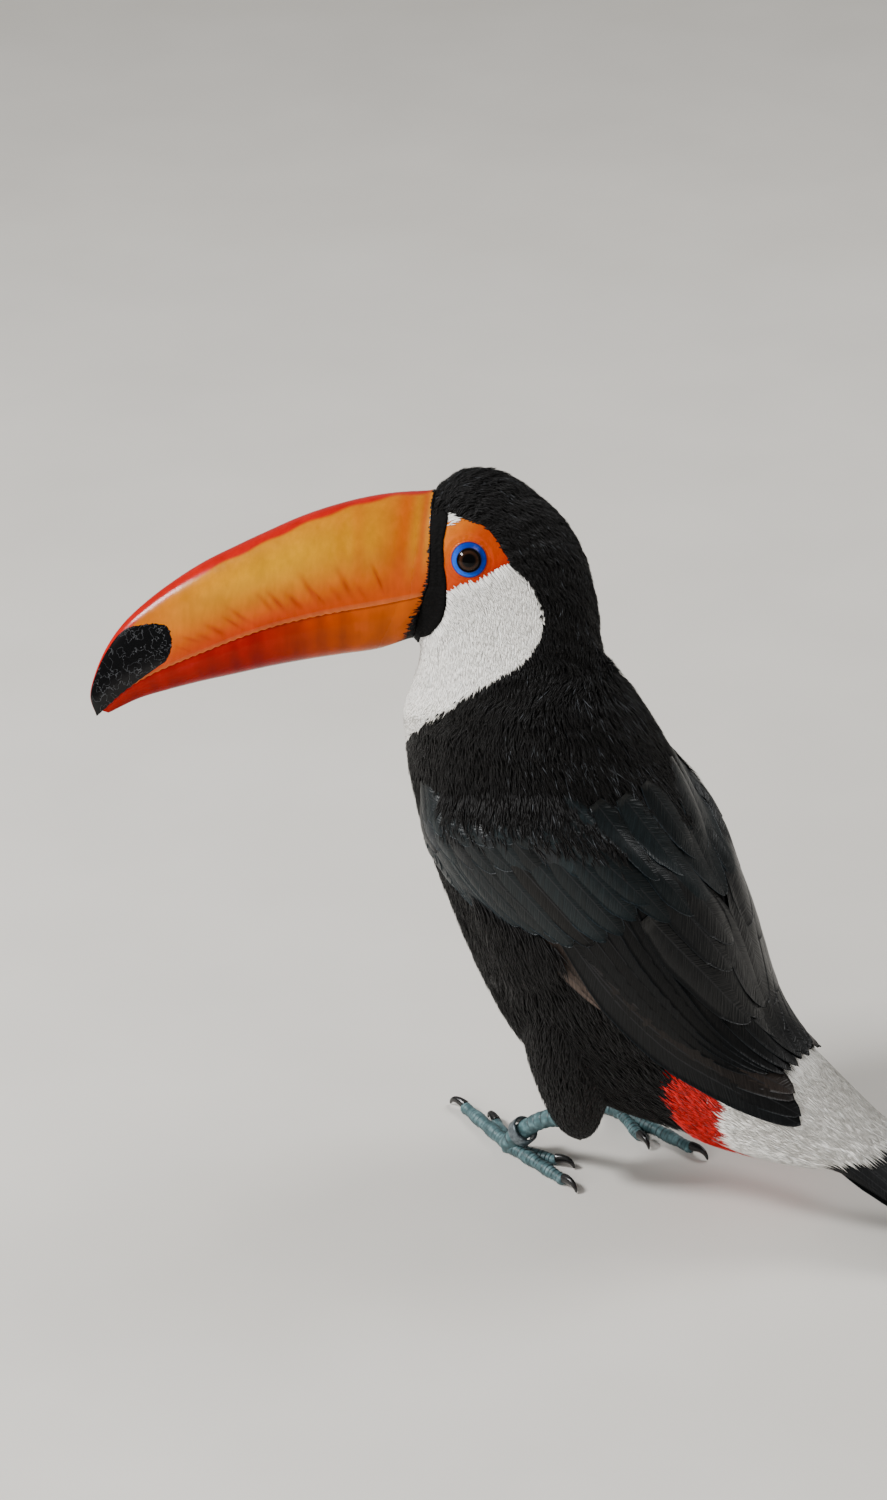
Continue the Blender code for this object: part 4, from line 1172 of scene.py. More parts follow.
def bill_shape(upper):
    """One half of the bill: rings over the ridge or under the keel, point = mouth + (edge - mouth) * sin^0.85 up and
    half-width * cos^0.85 aside. The first rings run back on to the head, as far as the rim. Returns the rings, how
    far along the bill each lies, and how far up each point lies from mouth to edge."""
    rows, columns, head_rows = 220, 97, 8
    s = np.linspace(0, 1, rows)
    ends = []
    for line in (BILL_MOUTH, BILL_RIDGE if upper else BILL_KEEL):
        line = np.array(line, float)
        run = np.concatenate([[0], np.cumsum(np.linalg.norm(np.diff(line, axis=0), axis=1))])
        ends.append(curve_through(line, np.interp(s * run[-1], run, np.arange(len(line)))))
    mouth, edge = ends
    half = curve_through(BILL_HALF_WIDTH, s * (len(BILL_HALF_WIDTH) - 1))
    if not upper:
        half = np.maximum(half * 0.955 - 0.25, 0.5)
    mouth = mouth + [0, -0.35 if upper else -0.25]
    angle = np.linspace(0, pi, columns)[None, :]
    left = half[:, None] * signed_power(np.cos(angle), 0.85)
    rise = np.sin(angle) ** 0.85
    flat = mouth[:, None] + (edge - mouth)[:, None] * rise[..., None]
    # The upper half's cutting edge turns in a little and has a low, worn saw-tooth.
    if upper:
        along = s[:, None]
        saw = 0.22 * np.sin(along * BILL_LENGTH / 4.3 * tau) * np.exp(-rise / 0.03)
        flat[..., 1] += saw * smooth_step((along - 0.15) / 0.1)
        wave = 0.25 * bell(rise, 0.93, 0.03) * smooth_step((along - 0.05) / 0.2)
        left = left * (1 - 0.035 * np.exp(-rise / 0.05)) * (1 + 0.015 * wave)
    body = in_head(flat[..., 0], flat[..., 1], left)
    # Rows on the head: the base ring's own place round the head, drawn back to the rim.
    centre, up, _, depth, width, _ = SECTIONS[0]
    away = body[0] - centre
    around = np.arctan2(signed_power(away @ HEAD_LEFT / width, 1.1), signed_power(away @ up / depth, 1.1))
    base = on_body(border_t(BAND_FRONT)(np.abs(np.degrees(around))), around, 0.25)
    ease = np.linspace(0, 1, head_rows + 1)[:-1, None, None] ** 0.8
    rings = np.concatenate([base + (body[0] - base) * ease, body])
    for _ in range(40):  # ease the bend where the rows on the head meet the bill
        rings[1:30] = (rings[:29] + 2 * rings[1:30] + rings[2:31]) / 4
    s = np.concatenate([np.linspace(-0.03, 0, head_rows + 1)[:-1], s])[:, None]
    return rings, *np.broadcast_arrays(s, rise)


def upper_bill_colour(s, height, bill, rng):
    """Gold on the side, orange below and red on the ridge, with flames, soft bands and a yellow light."""
    gold, orange, red = (np.array(x) for x in (bill.gold, bill.orange, bill.red))
    flame = rgb("#842600")
    tone = mixed(orange, gold, smooth_step((height - 0.04) / 0.55))
    # A yellower light lies high on the side, and the base has soft upright bands.
    tone = mixed(tone, rgb("#B98200"), 0.85 * bell(s, 0.36, 0.24) * bell(height, 0.66, 0.26))
    bands = 0.5 + 0.5 * np.sin(s * 88 + 2.0 * np.sin(s * 31) + height * 1.2)
    tone = mixed(tone, orange, 0.75 * bands * bell(s, 0.05, 0.11))
    # Flames: short dark tongues that lean towards the tip as they rise from the cutting edge.
    for k in range(FLAMES):
        low, long = rng.uniform(0.03, 0.18), rng.uniform(0.22, 0.40)
        up = (height - low) / long
        away = (s - 0.12 - 0.037 * k - rng.normal(0, 0.007) - 0.04 * up) / rng.uniform(0.004, 0.010)
        tongue = rng.uniform(0.35, 0.9) * smooth_step(1.8 * up + 0.5) * smooth_step((1 - up) * 1.2)
        tone = mixed(tone, flame, np.exp(-(away**2)) * tongue)
    tone = mixed(tone, flame, 0.55 * bell(s, 0.13, 0.03) * bell(height, 0.52, 0.06) * bands)
    tone = mixed(tone, rgb("#A02200"), 0.7 * bell(height, 0, 0.16) * smooth_step((s - 0.1) / 0.35))
    # Towards the tip the gold turns to orange.
    tone = mixed(tone, orange, 0.5 * smooth_step((s - 0.55) / 0.25))
    tall = np.interp(s, [0, 0.3, 0.6, 0.8, 1.0], [46, 47, 40, 30, 4])
    stripe = np.interp(s, np.linspace(0, 1, 11), STRIPE) + 0.4 * np.sin(s * 60)
    tone = mixed(tone, red, smooth_step((stripe - (1 - height) * tall) / 1.6 + 0.5))
    # A painted highlight: a pale hair line along the cutting edge.
    return mixed(tone, rgb("#D07030"), 0.6 * bell(height, 0, 0.012))


def lower_bill_colour(s, height, bill):
    """Orange at the base that deepens to red, in soft bands, with painted shade that darkens it towards the keel and a
    bright gold line along the keel near the base.
    """
    tone = mixed(np.array(bill.lower_base), np.array(bill.deep_red), smooth_step((s - 0.02) / 0.5))
    bands = 0.5 + 0.5 * np.sin(s * 70 + 1.4 * np.sin(s * 23))
    # Painted shade: up to 12 % darker towards the keel, which faces down.
    tone = tone * ((1 - 0.12 * smooth_step(height)) * (1 - 0.2 * bands))[..., None]
    return mixed(tone, np.array(bill.gold), 0.7 * smooth_step((height - 0.93) / 0.05) * smooth_step((0.42 - s) / 0.2))


class ToucanMakeBill(bpy.types.Operator):
    """Makes the two halves of the bill and the black rim round its base"""

    bl_idname = "toucan.make_bill"
    bl_label = "Bill"

    def execute(self, context):
        bill = context.scene.toucan_bill
        # Tip and base are how far a point lies inside the black tip and outside the black base, in mm.
        rings, s, height = bill_shape(upper=True)
        colour = upper_bill_colour(s, height, bill, np.random.default_rng(SEED + 20))
        tip = (s - np.interp(height, TIP_HEIGHTS, TIP_STARTS)) * BILL_LENGTH
        halves = [("upper", rings, colour, tip, (s + 0.03) * BILL_LENGTH - 1.6, 0.16, "bill_orange")]
        rings, s, height = bill_shape(upper=False)
        f, p, _ = seen_from_head(rings)
        # The lower half's black base ends at a slanting line, and it has no black tip.
        base = (f - 20.4) * 0.92 + (p + 13) * 0.40
        tip = np.full(s.shape, -9.0)
        halves.append(("lower", rings, lower_bill_colour(s, height, bill), tip, base, 0.1, "bill_red"))
        for half, rings, colour, tip, base, shine, slot in halves:
            put_tube(
                f"bill_{half}_horn", rings, horn_material(f"Polished bill horn, {half}", shine), slot,
                replaces=(f"bill_{half}",),
                fields={"Horn": np.clip(with_ends(colour), 0, 1), "tip": with_ends(tip), "base": with_ends(base)},
            )
        # The rim: a thin horny band on the head between its front and back outlines. It has a shallow groove along
        # it and tapers out under the crown's feathers.
        around = np.radians(np.linspace(-180, 180, 361))[:-1]
        degrees = np.abs(np.degrees(around))
        front, back = border_t(BAND_FRONT)(degrees) - RIM_TUCK, border_t(BAND_BACK)(degrees) + RIM_TUCK
        taper = smooth_step((degrees - 36) / 24)
        back = np.maximum(front + (back - front) * taper, front + RIM_LEAST)
        k = np.linspace(0, 1, 16)[:, None]
        profile = 0.16 * np.clip(np.sin(pi * k), 0, 1) ** 0.35 - 0.10 * bell(k, 0.62, 0.10)
        profile = (profile + 0.08 * bell(k, 0.85, 0.1)) * (0.2 + 0.8 * taper)
        heights = (profile - 0.25 * bell(degrees, 103.5, 1.5), np.full(profile.shape, RIM_UNDERSIDE))
        top, low = (on_body(front + (back - front) * k, around, height) for height in heights)
        put_hoop("bill_rim", np.concatenate([top, low[::-1]]).transpose(1, 0, 2), rim_material(), "claw_horn")
        return {"FINISHED"}


def tone_spread(colours, rng, variety):
    """Colours, each made a little lighter or darker."""
    return np.clip(colours * (1 + rng.normal(0, variety, len(colours)))[:, None], 0, 1)


def round_the_face(t, a):
    """How far feathers above the face turn up along its border, rather than over it."""
    f, p, _ = seen_from_head(on_body(t, a))
    above = np.interp(f, *np.array(FACE_TOP).T)
    return -0.75 * bell(p, above + 1.5, 4.0) * (f > -19) * (f < 11) * np.sign(a)


def bare_of_wing(t, degrees, rng):
    """Leave out what the wings hide, but for the hair-like feathers that run down over their front."""
    front = np.interp(degrees, *HAIR_EDGE[:, ::-1].T) + rng.normal(0, 0.13, len(t))
    return ~((t > front) & (degrees < wing_edge_at(t) - 7) & (t < 14.4))


# The coat's pieces: their sections, colour, tufts for each square millimetre, length and width by section, and
# how they lie. Between is the span in degrees round of those that leave room for the wings.
COATS = {
    "crown": ((0.0, 6.2), BLACK, 1.45, [(0, 3.0), (2, 4.2), (6, 6.0)], [(0, 0.5), (2, 0.62), (6, 0.85)],
              {"lie": round_the_face, "rise": 0.25, "glint": 0.08, "messy": 0.2, "rough": 0.25, "sway": 1.8}),
    "bib": ((0.0, HEAD_END), WHITE, 2.1, [(0, 3.6), (3, 5.5), (7, 9.0)], [(0, 0.38), (3, 0.65), (7, 0.95)],
            {"rise": 0.05, "steep": 0.05, "messy": 0.07, "rough": 0.012, "dark": 0.99, "keel": 0.1, "sway": 0.5}),
    "mantle": ((6.2, 10.8), BLACK, 0.96, [(6, 7.0), (8, 9.5), (9.5, 13.0)], [(6, 0.68), (10, 0.9)],
               {"between": (0, 112), "surface": on_wing, "rise": 0.9, "glint": 0.2, "messy": 0.2, "rough": 0.25}),
    "breast": ((6.2, 10.6), BLACK, 0.74, [(6, 7.0), (10, 11.0)], [(6, 0.75), (10, 1.0)],
               {"between": (108, 181), "messy": 0.18, "rough": 0.2}),
    "belly": ((10.4, 14.9), BLACK, 0.55, [(0, 12.5)], [(0, 1.0)],
              {"between": (0, 181), "rise": 0.4, "messy": 0.2, "rough": 0.25}),
    "rump": ((12.4, 16.6), WHITE, 1.35, [(12.6, 12), (15, 16), (16, 22)], [(12, 0.8), (16, 1.0)],
             {"between": (0, 181), "surface": on_rump, "rise": 0.3, "steep": 0.04, "messy": 0.04, "rough": 0.015,
              "dark": 0.99, "keel": 0.1, "sway": 0.15}),
    "vent": ((12.9, 15.6), RED, 1.15, [(0, 12.0)], [(0, 0.85)],
             {"surface": on_rump, "rise": 0.6, "messy": 0.14, "rough": 0.12, "keel": 0.2, "sway": 0.6}),
}


class ToucanMakeCoat(bpy.types.Operator):
    """Makes the small feathers of head, neck, trunk, thighs and rump"""

    bl_idname = "toucan.make_coat"
    bl_label = "Coat"

    def execute(self, context):
        plumage = context.scene.toucan_plumage
        dark = plumage_material("Black contour feathers", 0.44, 0.02, 0.3, 0.22)
        pale = plumage_material("White contour feathers", 0.7, 0.1, 0.03, 0.2)
        crimson = plumage_material("Red contour feathers", 0.55, 0.1, 0.15, 0.2)
        looks = {BLACK: (dark, "plumage_black"), WHITE: (pale, "plumage_white"), RED: (crimson, "plumage_black")}
        rim_back = border_t(BAND_BACK)
        fringe = np.random.default_rng(SEED + 40)

        def grow(name, seed, t_range, kind, density, lengths, widths, between=None, surface=on_body, glint=0.0,
                 steep=0.2, rise=0.3, lie=None, **rest):
            """One region of the coat, cut into numbered pieces where it has too many tufts for one."""
            t, a, rng = scatter(t_range, density * plumage.density, seed)
            # Ragged borders: each root asks for its colour a little away from where it stands.
            wobble = 0.012 * noise(t, a, 14, 3) + rng.normal(0, 0.008, len(t))
            degrees = from_back(a)
            keep = marking(t + wobble, a + wobble * 0.4) == kind
            keep &= t > rim_back(degrees) * smooth_step((degrees - 50) / 10) + 0.02
            if between:
                keep &= bare_of_wing(t, degrees, fringe) & (degrees >= between[0]) & (degrees < between[1])
            t, a = t[keep], a[keep]
            colour = tone_spread(coat_colour(np.full(len(t), kind)), rng, 0.04 if kind == WHITE else 0.2)
            length, width = (np.interp(t, *np.array(x).T) for x in (lengths, widths))
            if glint:
                # Painted highlight: some tufts are painted a pale grey in patches, most of them on the back, to stand
                # for barbs catching the light.
                upper = np.clip(1.25 - np.abs(np.degrees(a)) / 68, 0, 1)
                patchy = 0.3 + np.clip(noise(t, a, 2, 9) + 0.5 * noise(t, a, 5, 10), 0, 1) * 1.8
                painted_glint = rng.uniform(size=len(t)) < glint * upper * patchy
                colour[painted_glint] = np.array(plumage.glint) * rng.uniform(0.2, 1.0, (painted_glint.sum(), 1))
                length, width = np.where(painted_glint, length * 1.25, length), np.where(painted_glint, width * 0.5, width)
            # On the head, feathers are short where their tips would cross a border.
            crossing = (marking(t + 0.75 * length / SECTION_LENGTH, a) != kind) & (t < HEAD_END)
            length = np.where(crossing, 0.45 * length, length)
            sink, rise = np.minimum(coat_depth_at(t) * 0.9, steep * length), np.full(len(t), rise)
            if surface is on_wing:
                on = smooth_step((behind_wing_front(t, a) + 0.3) / 0.3)
                sink, rise = sink * (1 - on) + 0.1 * on, rise + 1.1 * on
            turn = lie(t, a) if lie else np.zeros(len(t))
            parts = np.array_split(np.argsort(a, kind="stable"), max(1, int(np.ceil(len(t) / TUFTS_IN_A_PIECE))))
            for number, n in enumerate(parts, 1):
                tuft_piece(name if len(parts) == 1 else f"{name}_{number}", t[n], a[n], surface,
                           (length[n], width[n]), colour[n], *looks[kind], rng, sink[n], rise[n], turn[n], **rest)

        for seed, (name, (*piece, rest)) in enumerate(COATS.items(), 11):
            grow(f"coat_{name}", seed, *piece, **rest)
        for seed, leg in enumerate(LEGS, 31):
            rng = np.random.default_rng(SEED + seed)
            count = int(THIGH_TUFTS * plumage.density)
            x, y = golden(count)
            p, q = 7.0 * x, tau * y
            keep = rng.uniform(size=count) < curve_through(THIGH[:, 3], p) / 18.5
            p, q = p[keep], q[keep]
            colour = tone_spread(coat_colour(np.full(len(p), BLACK)), rng, 0.2)
            home = np.stack([0.66 + 0.15 * (leg == "right") + 0.14 * q / tau, 0.05 + 0.4 * p / 7], axis=-1)
            length = rng.uniform(8, 12, len(p)) * np.interp(p, [0, 5.5, 7], [1, 1, 0.6])
            *mesh, bake, paint = tuft_mesh(
                thigh_surface(leg), p, q, length, rng.uniform(0.65, 1.05, len(p)), rng.normal(0, 0.2, len(p)),
                rng.uniform(1.6, 2.2, len(p)), rng.normal(0.3, 0.25, len(p)), home, colour,
            )
            put_mesh(f"coat_thigh_{leg}", *mesh, *looks[BLACK], uvs={"OFBake": bake}, fields={"Coat": paint})
        return {"FINISHED"}


def rad(rows):
    """(t, degrees) rows with their degrees in radians."""
    return np.stack([rows[:, 0], np.radians(rows[:, 1])], axis=-1)


# Wing feathers as (root t, root degrees, tip t, tip degrees, width), on the left wing, from the outer edge inwards.
PRIMARIES = [
    (9.70, 101, 11.95, 77, 9), (9.75, 98, 12.45, 70.5, 10), (9.80, 95, 12.90, 64.5, 12), (9.85, 92, 13.50, 60.5, 12),
    (9.95, 89, 14.05, 58.5, 12), (10.05, 86, 14.6, 57, 15), (10.12, 84, 14.95, 30, 20), (10.15, 83, 15.06, 37, 20),
    (10.2, 81, 15.2, 46, 20), (10.25, 80, 15.3, 54, 20),
]
SECONDARIES = [
    (10.0, 78, 13.75, 52, 15), (10.0, 73, 13.95, 47.5, 15), (10.0, 68, 14.1, 43, 15), (10.0, 63, 14.25, 38, 15),
    (10.05, 57, 14.4, 33, 15), (10.1, 51, 14.52, 28, 15), (10.2, 45, 14.62, 22.5, 16), (10.3, 38, 14.70, 16, 17),
    (10.4, 30, 14.72, 8, 18), (10.5, 20, 14.66, -1, 18),
]
TERTIALS = [
    (11.2, 16, 14.05, 2, 18), (10.9, 24, 13.55, 8, 18), (10.7, 44, 13.42, 19, 20), (10.4, 20, 12.75, 3, 18),
    (10.2, 34, 12.35, 16, 18), (10.9, 10, 13.35, 1.5, 17), (9.9, 27, 11.95, 8.5, 20),
]
SCAPULARS = [
    (9.35, 52, 10.95, 36, 15), (9.3, 10, 11.15, 0, 16), (9.35, 40, 11.10, 24, 16), (9.35, 25, 11.25, 12, 17),
    (9.0, 14, 10.45, 6, 15), (9.0, 30, 10.45, 20, 15), (8.9, 44, 10.35, 33, 14),
]
PRIMARY_COVERTS = [
    (8.85, 131, 10.05, 106, 7), (8.1, 131.5, 9.3, 124.5, 8), (8.6, 126, 10.15, 102, 8), (8.15, 127, 9.6, 117, 9),
    (8.25, 124, 9.9, 111, 9), (8.5, 119, 10.3, 98, 9), (8.6, 114, 10.4, 95, 10),
]
GREATER_COVERTS = [
    (8.85, 108, 10.25, 95.5, 12), (8.95, 103, 10.42, 89.5, 13), (9.05, 98, 10.58, 83, 14), (9.10, 92, 10.72, 76.5, 15),
    (9.15, 85, 10.78, 70, 15), (9.2, 78, 10.78, 63.5, 15), (9.3, 70, 10.76, 56.5, 15), (9.4, 62, 10.66, 49, 15),
    (9.5, 54, 10.55, 41.5, 15),
]
# How each group lies: its feathers, the heights of its lowest root and tip, how much the last lies higher than the
# first, its colour and finish, the solid it replaces, how its colours vary, and the shape of its feathers.
FEATHERS = {
    "primaries": (PRIMARIES, (-2.4, -1.1), 0.9, ("flight", 1.2), "glossy", "hand", 0.15,
                  {"blunt": 8.0, "outer": 0.4, "camber": 0.35, "roll": 0.4, "rows": 20}),
    "secondaries": (SECONDARIES, (-2.0, -0.8), 1.0, ("flight", 1.0), "glossy", "", 0.15,
                    {"blunt": 5.0, "outer": 0.42, "camber": 0.45, "roll": 0.35, "rows": 20}),
    "tertials": (TERTIALS, (-1.2, 0.1), 1.2, ("flight", 1.1), "polished", "", 0.15,
                 {"blunt": 5.5, "camber": 0.8, "rows": 20, "columns": 9}),
    "primary_coverts": (PRIMARY_COVERTS, (-1.4, -0.5), 0.5, ("slate", 1.2), "satin", "coverts", 0.15,
                        {"blunt": 3.2, "outer": 0.45, "rows": 16}),
    "greater_coverts": (GREATER_COVERTS, (-1.0, 0.4), 0.6, ("slate", 1.0), "satin", "", 0.35,
                        {"blunt": 4.2, "camber": 1.3, "roll": 0.8, "rows": 18, "columns": 9}),
    "scapulars": (SCAPULARS, (-0.4, 0.7), 0.8, ("slate", 0.9), "satin", "", 0.25,
                  {"blunt": 4.0, "camber": 1.0, "rows": 16, "columns": 9}),
}
# Rows of smaller coverts: how far their tips lie above the greater coverts' roots in sections, number, reach in
# sections, width and heights.
COVERT_ROWS = {
    "median": (0.0, 12, 0.85, 13.5, (-1.0, 0.6)),
    "lesser": (0.42, 14, 0.65, 11.5, (-1.0, 0.8)),
}


# The wing's own skin: how far it lies under the feathers, how far its underside lies in the body, and how deep it
# dips round its border.
WING_SKIN_DEPTH, WING_SKIN_UNDERSIDE, WING_SKIN_DIP = 1.5, -3.6, 3.0


class ToucanMakeWings(bpy.types.Operator):
    """Makes the feathers of both folded wings one by one: flight feathers, then rows of coverts over them"""

    bl_idname = "toucan.make_wings"
    bl_label = "Wings"

    def execute(self, context):
        plumage = context.scene.toucan_plumage
        finish = {
            "satin": vane_material("Slate wing coverts", 0.34, 0.22, "#344048"),
            "polished": vane_material("Glossy innermost wing feathers", 0.3, 0.3, "#24282A"),
            "glossy": vane_material("Blue-black flight feathers", 0.36, 0.16, "#282E32"),
        }
        shadowed = skin_material("Skin of the folded wing")
        colour = {key: np.array(getattr(plumage, key)) for key in ("slate", "flight", "brown")}
        for name, side in SIDES.items():
            rng = np.random.default_rng(SEED + 50)

            def lay(label, table, layer, mix, material, replaced="", variety=0.15, roll=0.3, **shape):
                """One group of feathers. Each is turned, widened and shaded a little in its own way."""
                count = len(table)
                root = rad(table)
                tip = rad(table[:, 2:4] + rng.normal(0, 1, (count, 2)) * [0.025, 0.5])
                roll = roll + rng.normal(0, 0.14, count)
                width = table[:, 4] * rng.uniform(0.94, 1.06, count)
                made = vanes(on_wing, root, tip, width, layer, side, roll=roll, rng=rng, **shape)
                mix = tone_spread(np.broadcast_to(mix, (count, 3)), rng, variety)
                replaced = (f"wing_{replaced}_{name}",) if replaced else ()
                vane_piece(f"{label}_{name}", made, atlas(root[:, 0], root[:, 1] * side), mix, material,
                           "plumage_wing", replaced, side)

            # The wing's own skin closes the gaps between feathers; it dips into the body round its border.
            t, u = every(np.linspace(8.2, 15.1, 110), np.linspace(0, 141, 90))
            end = np.interp(u, [0, 25, 40, 60, 141], [14.45, 14.45, 14.8, 14.9, 14.9])
            within = smooth_step((wing_edge_at(t) - 2.5 - u) / 4) * smooth_step((end - t) / 0.2)
            bed = wing_height(t, np.radians(u)) - WING_SKIN_DEPTH
            bed = np.minimum(bed, bed * within - WING_SKIN_DIP * (1 - within))
            heights = (bed, np.full(t.shape, WING_SKIN_UNDERSIDE))
            plate = np.stack([on_body(t, np.radians(u) * side, height) for height in heights])
            # The skin is painted darker than the flight feathers: painted shade in the gaps between them.
            put_solid(f"wing_skin_{name}", plate, vane_faces(*t.shape), (), shadowed, "plumage_wing",
                      replaces=(f"wing_flight_{name}",),
                      fields={"Coat": np.tile(colour["flight"] * 0.7, (2 * t.size, 1))})

            for label, (table, heights, rise, (kind, tone), look, replaced, variety, shape) in FEATHERS.items():
                table, mix = np.array(table), colour[kind] * tone
                if label == "primaries":
                    mix = mixed(colour["brown"], mix, np.clip(np.linspace(-0.35, 1.15, len(table)), 0, 1))
                    if side < 0:  # the right wing's tip is tucked in
                        table[:, 2] = np.minimum(table[:, 2], 14.75)
                layer = np.linspace(0, rise, len(table))[:, None] + heights
                lay(label, table, layer, mix, finish[look], replaced, variety, **{"camber": 0.5, **shape})
            for label, (back, count, reach, width, layer) in COVERT_ROWS.items():
                a = np.linspace(124, 50, count) + rng.normal(0, 1.2, count)
                line = np.interp(a, [40, 60, 75, 90, 100, 115, 125], [9.75, 9.72, 9.6, 9.4, 9.3, 9.1, 8.95])
                tip_t = line - back + rng.normal(0, 0.05, count)
                table = np.stack([tip_t - reach, a + 6, tip_t, a - 3, np.full(count, width)], axis=-1)
                grey = rng.uniform(size=(count, 1)) < 0.3
                mix = np.where(grey, rgb("#171A1C"), colour["slate"])
                lay(f"{label}_coverts", table, layer, mix, finish["satin"], variety=0.3, roll=0.4, blunt=3.4,
                    camber=1.2, rows=13, ragged=0.04)
            # Small scale-like feathers along the leading edge.
            t = np.linspace(7.9, 10.2, 34)
            table = [t, wing_edge_at(t) - 3.5, t + 0.42, wing_edge_at(t + 0.42) - 2.5, np.full(34, 8.0)]
            lay("edge_coverts", np.stack(table, axis=-1), (-1.6, -0.2), colour["slate"] * 1.3, finish["satin"],
                roll=-0.25, blunt=3.0, rows=10)
        return {"FINISHED"}


# The tail feathers' places across the tail, from the outer ones in, and their width and reach in mm.
TAIL_ORDER = np.array([4, -4, 3, -3, 2, -2, 1, -1, 0.35, -0.35])
TAIL_FEATHER_WIDTH, TAIL_FEATHER_REACH = 19.0, 96.5
# The feathers that lead on to the tail: degrees round, section numbers of root and tip, and width.
LEADING_DEGREES = np.array([176, 164, 152, 140, 128, 117, 107, 98, 88, 78, 66, 52, 36, 20, 6.0])
LEADING_ROOT, LEADING_TIP, LEADING_WIDTH = 14.9, 17.42, 9.5


class ToucanMakeTail(bpy.types.Operator):
    """Makes the ten tail feathers, fanned a little into a shallow roof"""

    bl_idname = "toucan.make_tail"
    bl_label = "Tail"

    def execute(self, context):
        flight = np.array(context.scene.toucan_plumage.flight)
        rng = np.random.default_rng(SEED + 60)
        black = vane_material("Black tail feathers", 0.55, 0.18)
        order = TAIL_ORDER
        root = np.stack([np.full(10, -14.0), order * 3.2], axis=-1)
        tip = np.stack([TAIL_FEATHER_REACH - 1.4 * np.abs(order) ** 1.6, order * 5.1], axis=-1)
        layer = np.linspace(0, 1, 10)[:, None] * [1.9, 0.9] - [0.9, 0.5]
        made = vanes(on_tail, root, tip, TAIL_FEATHER_WIDTH, layer, blunt=5.0, camber=0.35, roll=0.0, rows=26,
                     columns=9, step=(0.5, 0.5), thick=0.28, rng=rng, ragged=0.02)
        home = np.stack([0.66 + 0.30 * (order + 5) / 10, np.full(10, 0.75)], axis=-1)
        vane_piece("tail_feathers", made, home, tone_spread(np.tile(flight, (10, 1)), rng, 0.1), black,
                   "plumage_black", ("tail",))
        # Feathers that lead from under the white ones on to the tail, above and below.
        a, count = LEADING_DEGREES, len(LEADING_DEGREES)
        for name, side in SIDES.items():
            root = rad(np.stack([np.full(count, LEADING_ROOT), a], axis=-1))
            tip = rad(np.stack([np.full(count, LEADING_TIP), a + rng.normal(0, 1.5, count)], axis=-1))
            layer = np.linspace(0, 0.5, count)[:, None] - [1.2, 0.5]
            made = vanes(on_body, root, tip, LEADING_WIDTH, layer, side, blunt=6.0, camber=0.3, roll=0.15, rows=22,
                         rng=rng, ragged=0.02)
            colour = tone_spread(np.tile(flight, (count, 1)), rng, 0.12)
            vane_piece(f"tail_base_{name}", made, atlas(root[:, 0], root[:, 1] * side), colour, black,
                       "plumage_black", (), side)
        return {"FINISHED"}


# ---------------------------------------------------------------- feet


def bar(path, radii, columns=28, tall=1.0, plates=None, rise=0.0):
    """A round bar along a path: point = path + side * r cos + up * r sin, cut off at the floor. plates gives each
    row's place in its plate, 0 at the start and 1 at the raised end. Returns rings and how deep in a groove each
    point lies."""
    along = unit(np.gradient(path, axis=0))
    side = unit(np.cross(along, UPWARDS))
    up = np.cross(side, along)
    around = all_round(columns)
    radius = radii[:, None] + 0 * around
    groove = np.zeros(radius.shape)
    if plates is not None:
        top = smooth_step((np.sin(around) + 0.25) / 0.5)
        place = plates[:, None] % 1
        # Plates on top, and soft round pads underneath.
        plate = place**1.5 - 1.3 * bell(place, 1, 0.07) - 1.3 * bell(place, 0, 0.07)
        radius = radius + rise * plate * top + (1 - top) * 0.12 * np.sin(plates[:, None] * tau)
        # The whole underside also gets a groove mark of 0.35, so it is painted darker there.
        groove = np.clip(bell(np.minimum(place, 1 - place), 0, 0.085) * top + 0.35 * (1 - top), 0, 1)
    rings = (
        path[:, None]
        + side[:, None] * (radius * np.cos(around))[..., None]
        + up[:, None] * (radius * np.sin(around))[..., None] * tall
    )
    rings[..., 2] = np.maximum(rings[..., 2], 0.0)
    return rings, groove


def leg_line(leg, s):
    """The middle of the bare leg from the heel (0) to the foot (1): it leaves the heel level and dips to the foot."""
    heel = np.array(LEGS[leg]["heel"], float)
    foot = np.array([*LEGS[leg]["foot"], PAD_HEIGHT], float)
    line = heel + (foot - heel) * np.asarray(s, float)[..., None]
    line[..., 2] = heel[2] + (foot[2] - heel[2]) * np.clip(s, 0, 1.04) ** 2
    return line


